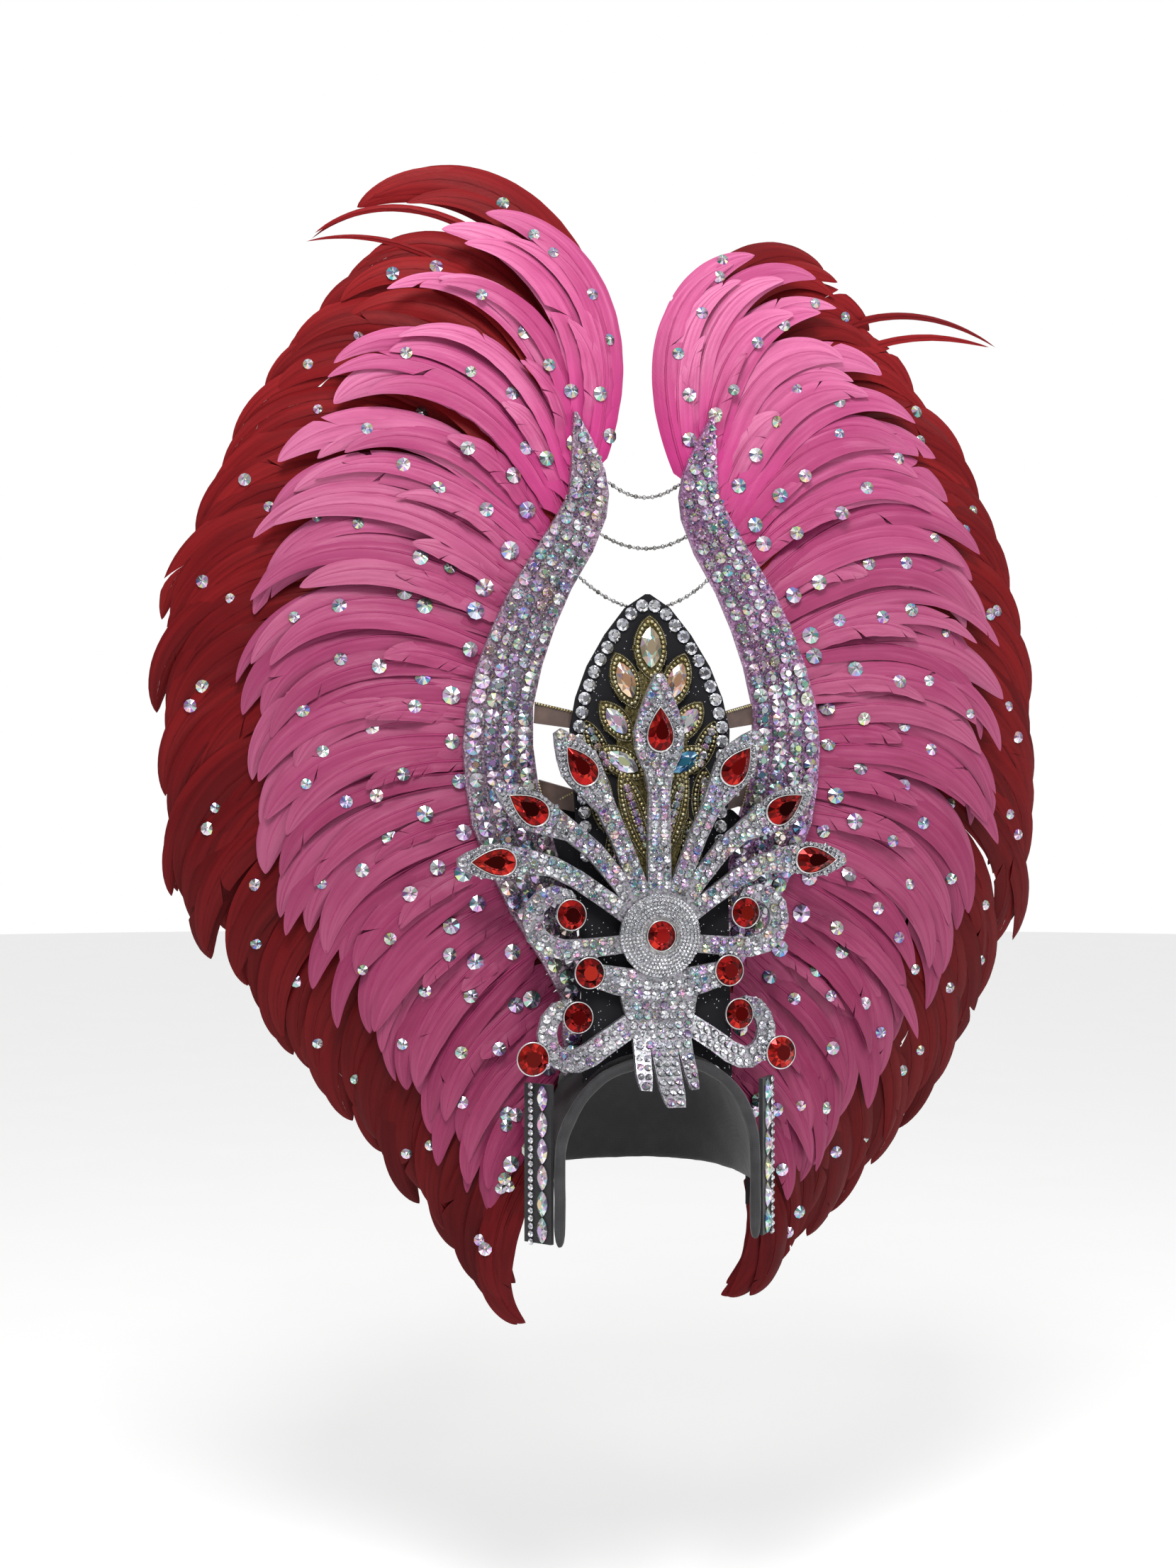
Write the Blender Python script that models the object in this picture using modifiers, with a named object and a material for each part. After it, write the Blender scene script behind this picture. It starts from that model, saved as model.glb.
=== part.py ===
"""Carnival feather headdress, in metres, +Z up, the wearer facing -Y.

The origin is the top of the hollow that the head fills. Two stone-covered horns
rise from a padded cap, a pointed black plaque stands between them, and a jewelled
ornament with red stones sits in front. Behind each horn a pink fan of plumes lies
on a longer red fan.
"""
import math

import bmesh
import bpy
from mathutils import Matrix, Vector

# Clearances and plain thicknesses
GAP = 0.0003
PLUME_WALL = 0.0020
FRAME_WALL = 0.0030
FRAME_INSET = 0.50
FRAME_TAB_TOP = -0.030

# Cap: the hollow for the head, its wall, and where its edges lie
HEAD_HALF_WIDTH = 0.075
HEAD_HALF_LENGTH = 0.095
HEAD_HEIGHT = 0.110
HEAD_CENTRE_Y = 0.005
HEAD_SQUARENESS = 2.6
CAP_WALL = 0.0030
CAP_SIDE_DROP = 0.096
CAP_OPENING_Y = -0.046
CAP_OPENING_LEAN = 0.16
CAP_SEGMENTS = 28
CAP_RINGS = 14

# Padded rim round the face, and the straps that hang in front of the ears
RIM_RADIUS = 0.0042
RIM_TURN_DROP = 0.066
RIM_STEP = 0.0018
RIM_ARCH_STEPS = 18
STRAP_TOP = -0.022
STRAP_BOTTOM = -0.132
STRAP_WIDTH = 0.024
STRAP_THICKNESS = 0.0030
STRAP_STEP_OUT = 0.0026
STRAP_ANGLE = math.radians(53)
STRAP_STONE_WIDTH = 0.0095
STRAP_STONE_LENGTH = 0.0178
STRAP_STONE_PITCH = 0.0182
STRAP_STONE_HEIGHT = 0.0035
STRAP_STONE_INSET = 0.0071
STONE_STRIP_WIDTH = 0.0050
STONE_STRIP_THICKNESS = 0.0012
STONE_STRIP_END = 0.0071

# Horns: two padded crescents, mirrored
HORN_TOP = 0.447
HORN_REACH = 0.131
HORN_FRONT_Y = -0.008
HORN_THICKNESS = 0.008
HORN_CROWN = 0.0015
HORN_FOOT_WIDTH = 0.011

# Feather fans: one pink and one red fan behind each horn
PINK_LENGTH = 0.205
RED_LENGTH = 0.285
FAN_LOCKS = 11
FAN_SEAT = 0.012
FAN_STEPS = 12
FAN_TURN_POWER = 1.5
FAN_SWEEP = math.radians(24)
SWEEP_AT_ROOT = 0.18
SWEEP_PER_METRE = 3.0
RED_EXTRA_SWEEP = math.radians(5.5)
RIDGE = 0.0025
RIDGE_START = 0.040
FAN_RINGS = (0.0, 0.14, 0.34, 0.55)
NOTCH_START = 0.74
NOTCH_WAIST = 0.90
WAIST_WIDTH = 0.62

# Plaque: the black board between the horns
PLAQUE_TOP = 0.319
PLAQUE_HALF_WIDTH = 0.058
PLAQUE_THICKNESS = 0.0040
PLAQUE_FOOT_Y = -0.0403
PLAQUE_LEAN = math.radians(4.8)
PLAQUE_COLUMNS = 12
EDGE_STONE_PITCH = 0.0099
EDGE_STONE_HEIGHT = 0.0035
EDGE_STONE_STEP = 0.00006
EDGE_STONE_OVERLAP = 0.0003
EDGE_INSET = 0.0056
EDGE_TIP_INSET = 0.0090
EDGE_STONES_END = 0.130

# Gold applique on the plaque
APPLIQUE_CENTRE = 0.200
APPLIQUE_HALF_WIDTH = 0.050
APPLIQUE_HALF_HEIGHT = 0.106
APPLIQUE_THICKNESS = 0.0030
GROUND_DROP_SHARE = 0.10
GROUND_LENGTH_SHARE = 1.62
GROUND_WIDTH_SHARE = 1.10
PETAL_STEP = 0.00006
PETAL_STONE_SHARE = 0.62
PETAL_STONE_HEIGHT = 0.0035

# Front ornament: the jewelled spray round the medallion
MEDALLION_Z = 0.080
MEDALLION_RADIUS = 0.029
MEDALLION_RISE = 0.0045
MEDALLION_SEAT_DEPTH = 0.0020
ORNAMENT_FRONT_Y = -0.045
ORNAMENT_THICKNESS = 0.0050
ORNAMENT_SPAN = 0.118
ORNAMENT_RISE = 0.143
ORNAMENT_SWEEP = 0.006
HUB_RADIUS = 0.027
FOREHEAD_BEND_Z = 0.034
FOREHEAD_BEND_DROP = 0.066
FOREHEAD_BULGE = 0.043
FOREHEAD_WIDTH = 0.045
FOREHEAD_POWER = 1.6
BAND_STEP = 0.0001

# Red stones
TEAR_WIDTH = 0.0180
TEAR_LENGTH = 0.0300
ROUND_STONE = 0.0205
TIP_STONE = 0.0220
RED_STONE_HEIGHT = 0.0060
TABLE_SHARE = 0.55
GIRDLE_SHARE = 0.30
GIRDLE_FOOT_SHARE = 0.94
TEAR_FULLNESS = 1.30

# Sides of round, pointed and turned pieces
RED_STONE_SIDES = 10
SMALL_STONE_SIDES = 8
LEAF_SIDES = 10
DISC_SIDES = 20

# Chains and cross strips between the horns
CHAIN_RADIUS = 0.0015
CHAIN_STEPS = 10
BRACE_THICKNESS = 0.0025
BRACE_BEND = 0.72

# Horn sections: height as a share of HORN_TOP, edges as shares of HORN_REACH
HORN_SECTIONS = [
    # height, inner edge, outer edge
    (0.080, 0.360, 0.465),
    (0.135, 0.350, 0.570),
    (0.210, 0.400, 0.735),
    (0.285, 0.470, 0.860),
    (0.350, 0.530, 0.950),
    (0.410, 0.590, 0.985),
    (0.474, 0.620, 1.000),
    (0.535, 0.620, 0.980),
    (0.600, 0.570, 0.920),
    (0.660, 0.500, 0.840),
    (0.720, 0.410, 0.740),
    (0.780, 0.290, 0.610),
    (0.835, 0.215, 0.490),
    (0.872, 0.200, 0.420),
    (0.910, 0.222, 0.408),
    (0.955, 0.290, 0.402),
    (1.000, 0.374, 0.392),
]

# Feather roots and directions down each horn. Root shares are of HORN_REACH and
# HORN_TOP. Angles are in degrees from straight outward, at the root and the tip.
# Lengths are shares of PINK_LENGTH and RED_LENGTH on each of the wearer's sides.
# Sweep is a share of FAN_SWEEP.
FAN_STATIONS = [
    # root x, root z, start, end, pink left, red left, pink right, red right, sweep
    (0.229, 0.886, 110, 30, 1.03, 0.80, 1.08, 0.87, 0.42),
    (0.313, 0.940, 97, 22, 0.91, 0.75, 0.99, 0.84, 0.50),
    (0.405, 0.877, 76, 0, 0.92, 0.83, 1.00, 0.91, 0.67),
    (0.550, 0.774, 48, -24, 1.03, 0.96, 1.08, 0.99, 0.83),
    (0.786, 0.644, 26, -44, 1.01, 0.99, 0.98, 0.97, 0.92),
    (0.916, 0.481, 4, -60, 0.98, 0.97, 0.90, 0.92, 1.00),
    (0.840, 0.313, -17, -74, 0.94, 0.91, 0.80, 0.78, 1.04),
    (0.630, 0.161, -36, -84, 0.88, 0.85, 0.73, 0.74, 1.04),
    (0.440, 0.011, -40, -90, 0.72, 0.70, 0.64, 0.65, 1.08),
    (0.641, -0.134, -62, -106, 0.40, 0.47, 0.42, 0.48, 1.08),
    (0.633, -0.277, -68, -118, 0.22, 0.28, 0.28, 0.34, 1.08),
]

# Plaque outline: height as a share of PLAQUE_TOP, half width as a share of
# PLAQUE_HALF_WIDTH
PLAQUE_SECTIONS = [
    (0.10, 0.92),
    (0.31, 0.93),
    (0.47, 0.94),
    (0.60, 0.97),
    (0.70, 1.00),
    (0.77, 0.92),
    (0.84, 0.77),
    (0.91, 0.54),
    (0.97, 0.28),
    (1.00, 0.03),
]

# Applique petals: place, size and lean, as shares of the applique's half sizes
APPLIQUE_PETALS = [
    # name, x, z, length, width, lean in degrees, carries a stone
    ("top", 0.00, 0.760, 0.44, 0.50, 0, True),
    ("upper", 0.37, 0.54, 0.40, 0.43, 19, True),
    ("side", 0.52, 0.27, 0.34, 0.40, 38, True),
    ("wing", 0.44, 0.00, 0.38, 0.42, 60, True),
    ("base", 0.26, -0.36, 0.66, 0.40, 18, False),
]

# Ornament bands. Points are (x, z, width): x is a share of ORNAMENT_SPAN, z of
# ORNAMENT_RISE above the medallion's centre, and width of MEDALLION_RADIUS.
BANDS_ON_CENTRE = {
    "top_arm": [(0, 0.10, 0.62), (0, 0.42, 0.56), (0, 0.74, 0.56), (0, 0.85, 0.98),
                (0, 0.96, 1.26), (0, 1.11, 0.90), (0, 1.27, 0.20)],
    "smile": [(-0.44, -0.17, 0.45), (-0.34, -0.20, 0.62), (-0.17, -0.23, 0.70),
              (0, -0.245, 0.72), (0.17, -0.23, 0.70), (0.34, -0.20, 0.62),
              (0.44, -0.17, 0.45)],
    "body": [(0, -0.24, 2.00), (0, -0.36, 1.76), (0, -0.47, 1.50), (0, -0.545, 1.36)],
    "drip_middle": [(0, -0.50, 0.68), (0, -0.62, 0.62), (0, -0.73, 0.58),
                    (0, -0.795, 0.42)],
}
BANDS_ON_SIDES = {
    "drip_side": [(0.125, -0.48, 0.42), (0.135, -0.59, 0.36), (0.143, -0.67, 0.34),
                  (0.146, -0.725, 0.22)],
    "inner_arm": [(0.05, 0.08, 0.42), (0.20, 0.40, 0.45), (0.32, 0.62, 0.48),
                  (0.42, 0.75, 0.84), (0.48, 0.83, 0.98), (0.55, 0.92, 0.66),
                  (0.61, 0.99, 0.20)],
    "middle_arm": [(0.09, 0.08, 0.42), (0.32, 0.35, 0.45), (0.52, 0.50, 0.48),
                   (0.69, 0.57, 0.82), (0.78, 0.615, 0.90), (0.88, 0.675, 0.62),
                   (0.97, 0.73, 0.20)],
    "outer_arm": [(0.11, 0.05, 0.42), (0.41, 0.23, 0.45), (0.63, 0.335, 0.48),
                  (0.84, 0.365, 0.66), (0.98, 0.36, 0.84), (1.10, 0.36, 0.62),
                  (1.19, 0.36, 0.20)],
    "curl": [(0.11, -0.03, 0.42), (0.39, -0.055, 0.45), (0.61, -0.06, 0.50),
             (0.735, 0.01, 0.50), (0.745, 0.13, 0.48), (0.65, 0.20, 0.45),
             (0.54, 0.18, 0.40), (0.53, 0.105, 0.36)],
    "hook": [(0.12, -0.40, 0.52), (0.31, -0.50, 0.52), (0.46, -0.585, 0.54),
             (0.57, -0.60, 0.52), (0.655, -0.54, 0.48), (0.665, -0.43, 0.45),
             (0.59, -0.345, 0.40), (0.51, -0.350, 0.34)],
    "tip": [(0.60, -0.565, 0.34), (0.69, -0.58, 0.32), (0.755, -0.585, 0.28)],
}
BAND_STEPS = {"top_arm": 10, "smile": 8, "body": 4, "drip_middle": 6, "inner_arm": 9,
              "middle_arm": 9, "outer_arm": 9, "curl": 12, "hook": 12, "tip": 2,
              "drip_side": 5}

# Medallion's rings outside its seat, as shares of its radius and rise
MEDALLION_RINGS = [(0.52, 1.00), (0.84, 0.68), (1.00, 0.30)]

# Red stones on the ornament: place as shares of ORNAMENT_SPAN and ORNAMENT_RISE,
# and lean of the point in degrees from straight up
TEAR_SEATS = [("inner_arm", 0.480, 0.825, 36), ("middle_arm", 0.785, 0.620, 57),
              ("outer_arm", 0.985, 0.360, 90)]
ROUND_SEATS = [("curl", 0.530, 0.105, ROUND_STONE), ("smile", 0.425, -0.175, ROUND_STONE),
               ("hook", 0.490, -0.390, ROUND_STONE), ("tip", 0.755, -0.585, TIP_STONE)]

# Chains from horn to horn: height at the horn and at the lowest point, as shares
# of HORN_TOP, with the chain's depth at its middle and its clearance at the horn
CHAINS = [
    ("chain_top", 0.893, 0.868, -0.0040, 0.0019),
    ("chain_middle", 0.810, 0.787, -0.0040, 0.0010),
    ("chain_low", 0.742, 0.691, -0.0062, 0.0010),
]

# Brown strips from horn to horn behind the plaque: height at the horn and behind
# the plaque, as shares of HORN_TOP, and the strip's width there
BRACES = [
    ("brace_upper", 0.526, 0.015, 0.490, 0.007),
    ("brace_lower", 0.400, 0.018, 0.352, 0.010),
]

BLACK = (0.012, 0.011, 0.013)
PINK = (0.80, 0.16, 0.45)
RED = (0.38, 0.015, 0.03)
SILVER = (0.72, 0.72, 0.76)
GOLD = (0.42, 0.33, 0.12)
CRYSTAL = (0.78, 0.80, 0.86)
RUBY = (0.62, 0.02, 0.01)
BROWN = (0.16, 0.08, 0.06)


def material(name, colour, roughness, metallic=0.0):
    """A Principled material with one plain colour."""
    found = bpy.data.materials.get(name)
    if found:
        return found
    made = bpy.data.materials.new(name)
    made.use_nodes = True
    shader = made.node_tree.nodes["Principled BSDF"]
    shader.inputs["Base Color"].default_value = (*colour, 1.0)
    shader.inputs["Roughness"].default_value = roughness
    shader.inputs["Metallic"].default_value = metallic
    made.diffuse_color = (*colour, 1.0)
    return made


def collection(name):
    """A collection of the scene, made on first use."""
    found = bpy.data.collections.get(name)
    if not found:
        found = bpy.data.collections.new(name)
        bpy.context.scene.collection.children.link(found)
    return found


def add_object(name, mesh, finish, group="feather_headdress"):
    """Put a mesh in the scene as one named piece."""
    piece = bpy.data.objects.new(name, mesh)
    mesh.materials.clear()
    mesh.materials.append(finish)
    collection(group).objects.link(piece)
    return piece


def as_tool(piece):
    """Mark a piece that only shapes another one."""
    piece.hide_render = True
    piece.display_type = "WIRE"
    return piece


def blend(values, share):
    """Catmull-Rom value of a list of equal-length rows at a share from 0 to 1."""
    last = len(values) - 1
    place = min(max(share, 0.0), 1.0) * last
    start = min(int(place), last - 1)
    t = place - start
    rows = [values[min(max(start + step, 0), last)] for step in (-1, 0, 1, 2)]
    return [0.5 * (2 * b + (c - a) * t + (2 * a - 5 * b + 4 * c - d) * t * t
                   + (3 * b - a - 3 * c + d) * t ** 3)
            for a, b, c, d in zip(*rows)]


def look_up(table, key_column, key, value_column):
    """Straight-line value of a table's column where another column reaches key."""
    rows = sorted(table, key=lambda row: row[key_column])
    if key <= rows[0][key_column]:
        return rows[0][value_column]
    for low, high in zip(rows, rows[1:]):
        if key <= high[key_column]:
            t = (key - low[key_column]) / (high[key_column] - low[key_column])
            return low[value_column] + t * (high[value_column] - low[value_column])
    return rows[-1][value_column]


def sheet(name, rows, thickness, finish, group="feather_headdress"):
    """A solid plate from rows of points on its front, thickened to the back."""
    shape = bmesh.new()
    grid = [[shape.verts.new(point) for point in row] for row in rows]
    for near, far in zip(grid, grid[1:]):
        for column in range(len(near) - 1):
            shape.faces.new((near[column], near[column + 1],
                             far[column + 1], far[column]))
    return thicken(name, shape, thickness, finish, group)


def thicken(name, shape, thickness, finish, group="feather_headdress"):
    """Finish an open front surface as a solid of one thickness."""
    shape.normal_update()
    forward = sum((face.normal.y * face.calc_area() for face in shape.faces), 0.0)
    if forward > 0:
        bmesh.ops.reverse_faces(shape, faces=shape.faces[:])
    mesh = bpy.data.meshes.new(name)
    shape.to_mesh(mesh)
    shape.free()
    piece = add_object(name, mesh, finish, group)
    wall = piece.modifiers.new("wall", "SOLIDIFY")
    wall.thickness = thickness
    wall.offset = -1.0
    return piece


def ring_loft(name, rings, finish, group="feather_headdress"):
    """A solid through closed rings of equal count, with flat ends."""
    shape = bmesh.new()
    made = [[shape.verts.new(point) for point in ring] for ring in rings]
    count = len(made[0])
    shape.faces.new(made[0][::-1])
    for low, high in zip(made, made[1:]):
        for i in range(count):
            j = (i + 1) % count
            shape.faces.new((low[i], low[j], high[j], high[i]))
    shape.faces.new(made[-1])
    mesh = bpy.data.meshes.new(name)
    shape.to_mesh(mesh)
    shape.free()
    return add_object(name, mesh, finish, group)


def stone_outline(kind, width, length, count):
    """Girdle of a cut stone, counter-clockwise, its point towards +Y."""
    points = []
    for i in range(count):
        angle = 2 * math.pi * i / count
        side, along = -math.sin(angle), math.cos(angle)
        if kind == "tear":
            side *= math.sin(angle / 2) * TEAR_FULLNESS
        if kind == "marquise":
            side *= math.sqrt(abs(math.sin(angle)))
        points.append((side * width / 2, along * length / 2))
    return points


def cut_stone(name, kind, width, length, height, finish, count=RED_STONE_SIDES,
              group="feather_headdress", girdle=True):
    """A flat-backed stone: girdle wall, sloping crown facets and a table."""
    outline = stone_outline(kind, width, length, count)
    levels = [(0.0, 1.0), (height, TABLE_SHARE)]
    if girdle:
        levels = [(0.0, GIRDLE_FOOT_SHARE), (height * GIRDLE_SHARE, 1.0),
                  (height, TABLE_SHARE)]
    rings = [[(x * scale, y * scale, level) for x, y in outline]
             for level, scale in levels]
    return ring_loft(name, rings, finish, group)


def place(piece, point, normal, up):
    """Stand a piece's local Z on a surface normal, with its local Y towards up."""
    ahead = Vector(normal).normalized()
    side = Vector(up).cross(ahead).normalized()
    top = ahead.cross(side)
    piece.location = Vector(point) + ahead * GAP
    turn = Matrix((side, top, ahead)).transposed()
    piece.rotation_euler = turn.to_euler()
    return piece


def unite(base, group):
    """Fuse every piece of a tool collection into the base."""
    join = base.modifiers.new("join", "BOOLEAN")
    join.operation = "UNION"
    join.solver = "EXACT"
    join.operand_type = "COLLECTION"
    join.collection = collection(group)
    for piece in collection(group).objects:
        as_tool(piece)


def cap_reach(x, y, z, wall):
    """Below 1 inside the head form grown by wall, above 1 outside it."""
    shares = ((x, HEAD_HALF_WIDTH), (y - HEAD_CENTRE_Y, HEAD_HALF_LENGTH),
              (z + HEAD_HEIGHT, HEAD_HEIGHT))
    return sum(abs(value / (half + wall)) ** HEAD_SQUARENESS for value, half in shares)


def cap_outer_x(y, z):
    """Half width of the cap's outside at a depth and height."""
    room = 1.0 - cap_reach(0.0, y, max(z, -HEAD_HEIGHT), CAP_WALL)
    return (HEAD_HALF_WIDTH + CAP_WALL) * max(room, 0.0) ** (1 / HEAD_SQUARENESS)


def cap_top_z(x, y):
    """Height of the cap's outside above a point of the plan."""
    room = 1.0 - cap_reach(x, y, -HEAD_HEIGHT, CAP_WALL)
    rise = (HEAD_HEIGHT + CAP_WALL) * max(room, 0.0) ** (1 / HEAD_SQUARENESS)
    return rise - HEAD_HEIGHT


def opening_y(z):
    """Depth of the face opening's edge at a height."""
    return CAP_OPENING_Y - CAP_OPENING_LEAN * z


def make_cap():
    """The cap: a squared dome, cut open for the face and level at the nape."""
    shape = bmesh.new()
    bmesh.ops.create_uvsphere(shape, u_segments=CAP_SEGMENTS, v_segments=CAP_RINGS,
                              radius=1.0)
    for vert in shape.verts:
        size = sum(abs(value) ** HEAD_SQUARENESS for value in vert.co)
        vert.co *= size ** (-1 / HEAD_SQUARENESS)
        vert.co.x *= HEAD_HALF_WIDTH
        vert.co.y = vert.co.y * HEAD_HALF_LENGTH + HEAD_CENTRE_Y
        vert.co.z = (vert.co.z - 1.0) * HEAD_HEIGHT
    cuts = (((0, 0, -CAP_SIDE_DROP), (0, 0, -1)),
            ((0, CAP_OPENING_Y, 0), (0, -1, -CAP_OPENING_LEAN)))
    for point, outward in cuts:
        whole = shape.verts[:] + shape.edges[:] + shape.faces[:]
        bmesh.ops.bisect_plane(shape, geom=whole, plane_co=point, plane_no=outward,
                               clear_outer=True)
    mesh = bpy.data.meshes.new("head_cap")
    shape.to_mesh(mesh)
    shape.free()
    cap = add_object("head_cap", mesh, material("black_cloth", BLACK, 0.9))
    wall = cap.modifiers.new("wall", "SOLIDIFY")
    wall.thickness = CAP_WALL
    wall.offset = 1.0
    cap.data.shade_smooth()
    cap.data.set_sharp_from_angle(angle=math.radians(40))


def rim_leg():
    """Plan position (x, y) of the rim where it runs straight down."""
    z = -RIM_TURN_DROP
    y = opening_y(z)
    mid_wall = CAP_WALL / 2
    room = 1.0 - cap_reach(0.0, y, z, mid_wall)
    x = (HEAD_HALF_WIDTH + mid_wall) * room ** (1 / HEAD_SQUARENESS)
    return x, y - RIM_STEP - RIM_RADIUS - GAP


def make_rim():
    """The padded rim: up one strap, over the forehead and down the other."""
    leg_x, leg_y = rim_leg()
    mid_wall = CAP_WALL / 2
    arch = []
    for i in range(RIM_ARCH_STEPS + 1):
        angle = math.pi * i / RIM_ARCH_STEPS
        reach_low, reach_high = 0.0, HEAD_HEIGHT + HEAD_HALF_WIDTH
        for _ in range(30):
            reach = (reach_low + reach_high) / 2
            x = reach * math.cos(angle)
            z = reach * math.sin(angle) - RIM_TURN_DROP
            if cap_reach(x, opening_y(z), z, mid_wall) < 1.0:
                reach_low = reach
            else:
                reach_high = reach
        arch.append((x, opening_y(z) - RIM_STEP - RIM_RADIUS - GAP, z))
    foot_z = STRAP_BOTTOM - RIM_RADIUS / 2
    legs = [foot_z, (foot_z - RIM_TURN_DROP) / 2]
    points = [(leg_x, leg_y, z) for z in legs] + arch
    points += [(-leg_x, leg_y, z) for z in reversed(legs)]
    tube("face_rim", points, RIM_RADIUS, material("rim_cloth", BLACK, 0.6))


def tube(name, points, radius, finish):
    """A round bar through points, with closed ends."""
    curve = bpy.data.curves.new(name, "CURVE")
    curve.dimensions = "3D"
    curve.bevel_depth = radius
    curve.bevel_resolution = 2
    curve.use_fill_caps = True
    spline = curve.splines.new("POLY")
    spline.points.add(len(points) - 1)
    for knot, point in zip(spline.points, points):
        knot.co = (*point, 1.0)
    curve.materials.append(finish)
    piece = bpy.data.objects.new(name, curve)
    collection("feather_headdress").objects.link(piece)


def make_strap(side, word):
    """A flat strap beside the rim, and its row of marquise stones."""
    leg_x, leg_y = rim_leg()
    rearward = Vector((side * math.cos(STRAP_ANGLE), math.sin(STRAP_ANGLE), 0))
    facing = Vector((side * math.sin(STRAP_ANGLE), -math.cos(STRAP_ANGLE), 0))
    corner = Vector((side * leg_x, leg_y, 0)) + rearward * (RIM_RADIUS + GAP)
    corner += facing * (STRAP_STEP_OUT + STRAP_THICKNESS / 2)
    rows = []
    for z in (STRAP_BOTTOM, STRAP_TOP):
        up = Vector((0, 0, z))
        rows.append([corner + up, corner + rearward * STRAP_WIDTH + up])
    sheet(f"cheek_strap_{word}", rows, STRAP_THICKNESS, material("black_cloth", BLACK, 0.9))

    count = int((STRAP_TOP - STRAP_BOTTOM) / STRAP_STONE_PITCH)
    spare = (STRAP_TOP - STRAP_BOTTOM) - (count - 1) * STRAP_STONE_PITCH
    first = STRAP_BOTTOM + spare / 2
    last = first + (count - 1) * STRAP_STONE_PITCH
    crystal = material("crystal", CRYSTAL, 0.1)
    strip = []
    for z in (first - STONE_STRIP_END, last + STONE_STRIP_END):
        level = Vector((0, 0, z)) + facing * (GAP + STONE_STRIP_THICKNESS)
        strip.append([corner + level + rearward * (STRAP_STONE_INSET + edge)
                      for edge in (-STONE_STRIP_WIDTH / 2, STONE_STRIP_WIDTH / 2)])
    base = sheet(f"strap_stones_{word}", strip, STONE_STRIP_THICKNESS, crystal)
    group = f"strap_stone_tools_{word}"
    for i in range(count):
        stone = cut_stone(f"strap_stone_tool_{word}_{i}", "marquise", STRAP_STONE_WIDTH,
                          STRAP_STONE_LENGTH, STRAP_STONE_HEIGHT, crystal,
                          SMALL_STONE_SIDES, group)
        level = Vector((0, 0, first + i * STRAP_STONE_PITCH))
        spot = corner + level + rearward * STRAP_STONE_INSET + facing * GAP
        place(stone, spot, facing, (0, 0, 1))
    unite(base, group)


def horn_edge(z, column):
    """Distance of a horn's inner (1) or outer (2) edge from the middle plane."""
    return HORN_REACH * look_up(HORN_SECTIONS, 0, z / HORN_TOP, column)


def make_horn(side, word):
    """A flat-backed crescent whose foot stands on the cap."""
    foot_inner = HORN_REACH * HORN_SECTIONS[0][1]
    foot_outer = foot_inner + HORN_FOOT_WIDTH
    rows = []
    lowest = []
    for x in (foot_inner, (foot_inner + foot_outer) / 2, foot_outer):
        lowest.append((x, cap_top_z(x, HEAD_CENTRE_Y) + 4 * GAP))
    rows.append(lowest)
    for height, inner, outer in HORN_SECTIONS:
        z = HORN_TOP * height
        rows.append([(HORN_REACH * share, z)
                     for share in (inner, (inner + outer) / 2, outer)])
    front = []
    for row in rows:
        depths = (HORN_FRONT_Y + HORN_CROWN, HORN_FRONT_Y, HORN_FRONT_Y + HORN_CROWN)
        front.append([(side * x, y, z) for (x, z), y in zip(row, depths)])
    back_y = HORN_FRONT_Y + HORN_THICKNESS
    back = [[(x, back_y, z) for x, _, z in row] for row in front]
    closed_plate(f"horn_{word}", front, back, material("crystal_cloth", SILVER, 0.3))


def closed_plate(name, front, back, finish, group="feather_headdress"):
    """A solid between a front grid and a back grid of points."""
    shape = bmesh.new()
    layers = [[[shape.verts.new(point) for point in row] for row in grid]
              for grid in (front, back)]
    for grid in layers:
        for near, far in zip(grid, grid[1:]):
            for i in range(len(near) - 1):
                shape.faces.new((near[i], near[i + 1], far[i + 1], far[i]))
    outlines = []
    for grid in layers:
        outline = list(grid[0])
        outline += [row[-1] for row in grid[1:]]
        outline += grid[-1][-2::-1]
        outline += [row[0] for row in grid[-2:0:-1]]
        outlines.append(outline)
    count = len(outlines[0])
    for i in range(count):
        j = (i + 1) % count
        shape.faces.new((outlines[0][i], outlines[0][j], outlines[1][j], outlines[1][i]))
    bmesh.ops.recalc_face_normals(shape, faces=shape.faces[:])
    mesh = bpy.data.meshes.new(name)
    shape.to_mesh(mesh)
    shape.free()
    return add_object(name, mesh, finish, group)


def station(share):
    """Feather root, directions, lengths and sweep at a share of the way down."""
    root_x, root_z, start, end, *lengths, sweep = blend(FAN_STATIONS, share)
    return (root_x * HORN_REACH, root_z * HORN_TOP, math.radians(start),
            math.radians(end), lengths, sweep * FAN_SWEEP)


def feather_line(share, side, tier):
    """Points of one feather's quill from its seat, behind the horn, to its tip."""
    x, z, start, end, lengths, sweep = station(share)
    red = tier == "red"
    column = (1 if red else 0) + (0 if side > 0 else 2)
    length = lengths[column] * (RED_LENGTH if red else PINK_LENGTH)
    y = GAP + (PLUME_WALL + GAP if red else 0.0)
    turn = math.cos(start), math.sin(start)
    points = [Vector((side * (x - FAN_SEAT * turn[0]), y, z - FAN_SEAT * turn[1])),
              Vector((side * x, y, z))]
    pace = length / FAN_STEPS
    for step in range(FAN_STEPS):
        t = (step + 0.5) / FAN_STEPS
        heading = start + (end - start) * t ** FAN_TURN_POWER
        lean = sweep * (SWEEP_AT_ROOT + SWEEP_PER_METRE * t * length)
        if red:
            lean += RED_EXTRA_SWEEP
        x += pace * math.cos(lean) * math.cos(heading)
        z += pace * math.cos(lean) * math.sin(heading)
        y += pace * math.sin(lean)
        points.append(Vector((side * x, y, z)))
    return points


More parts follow.
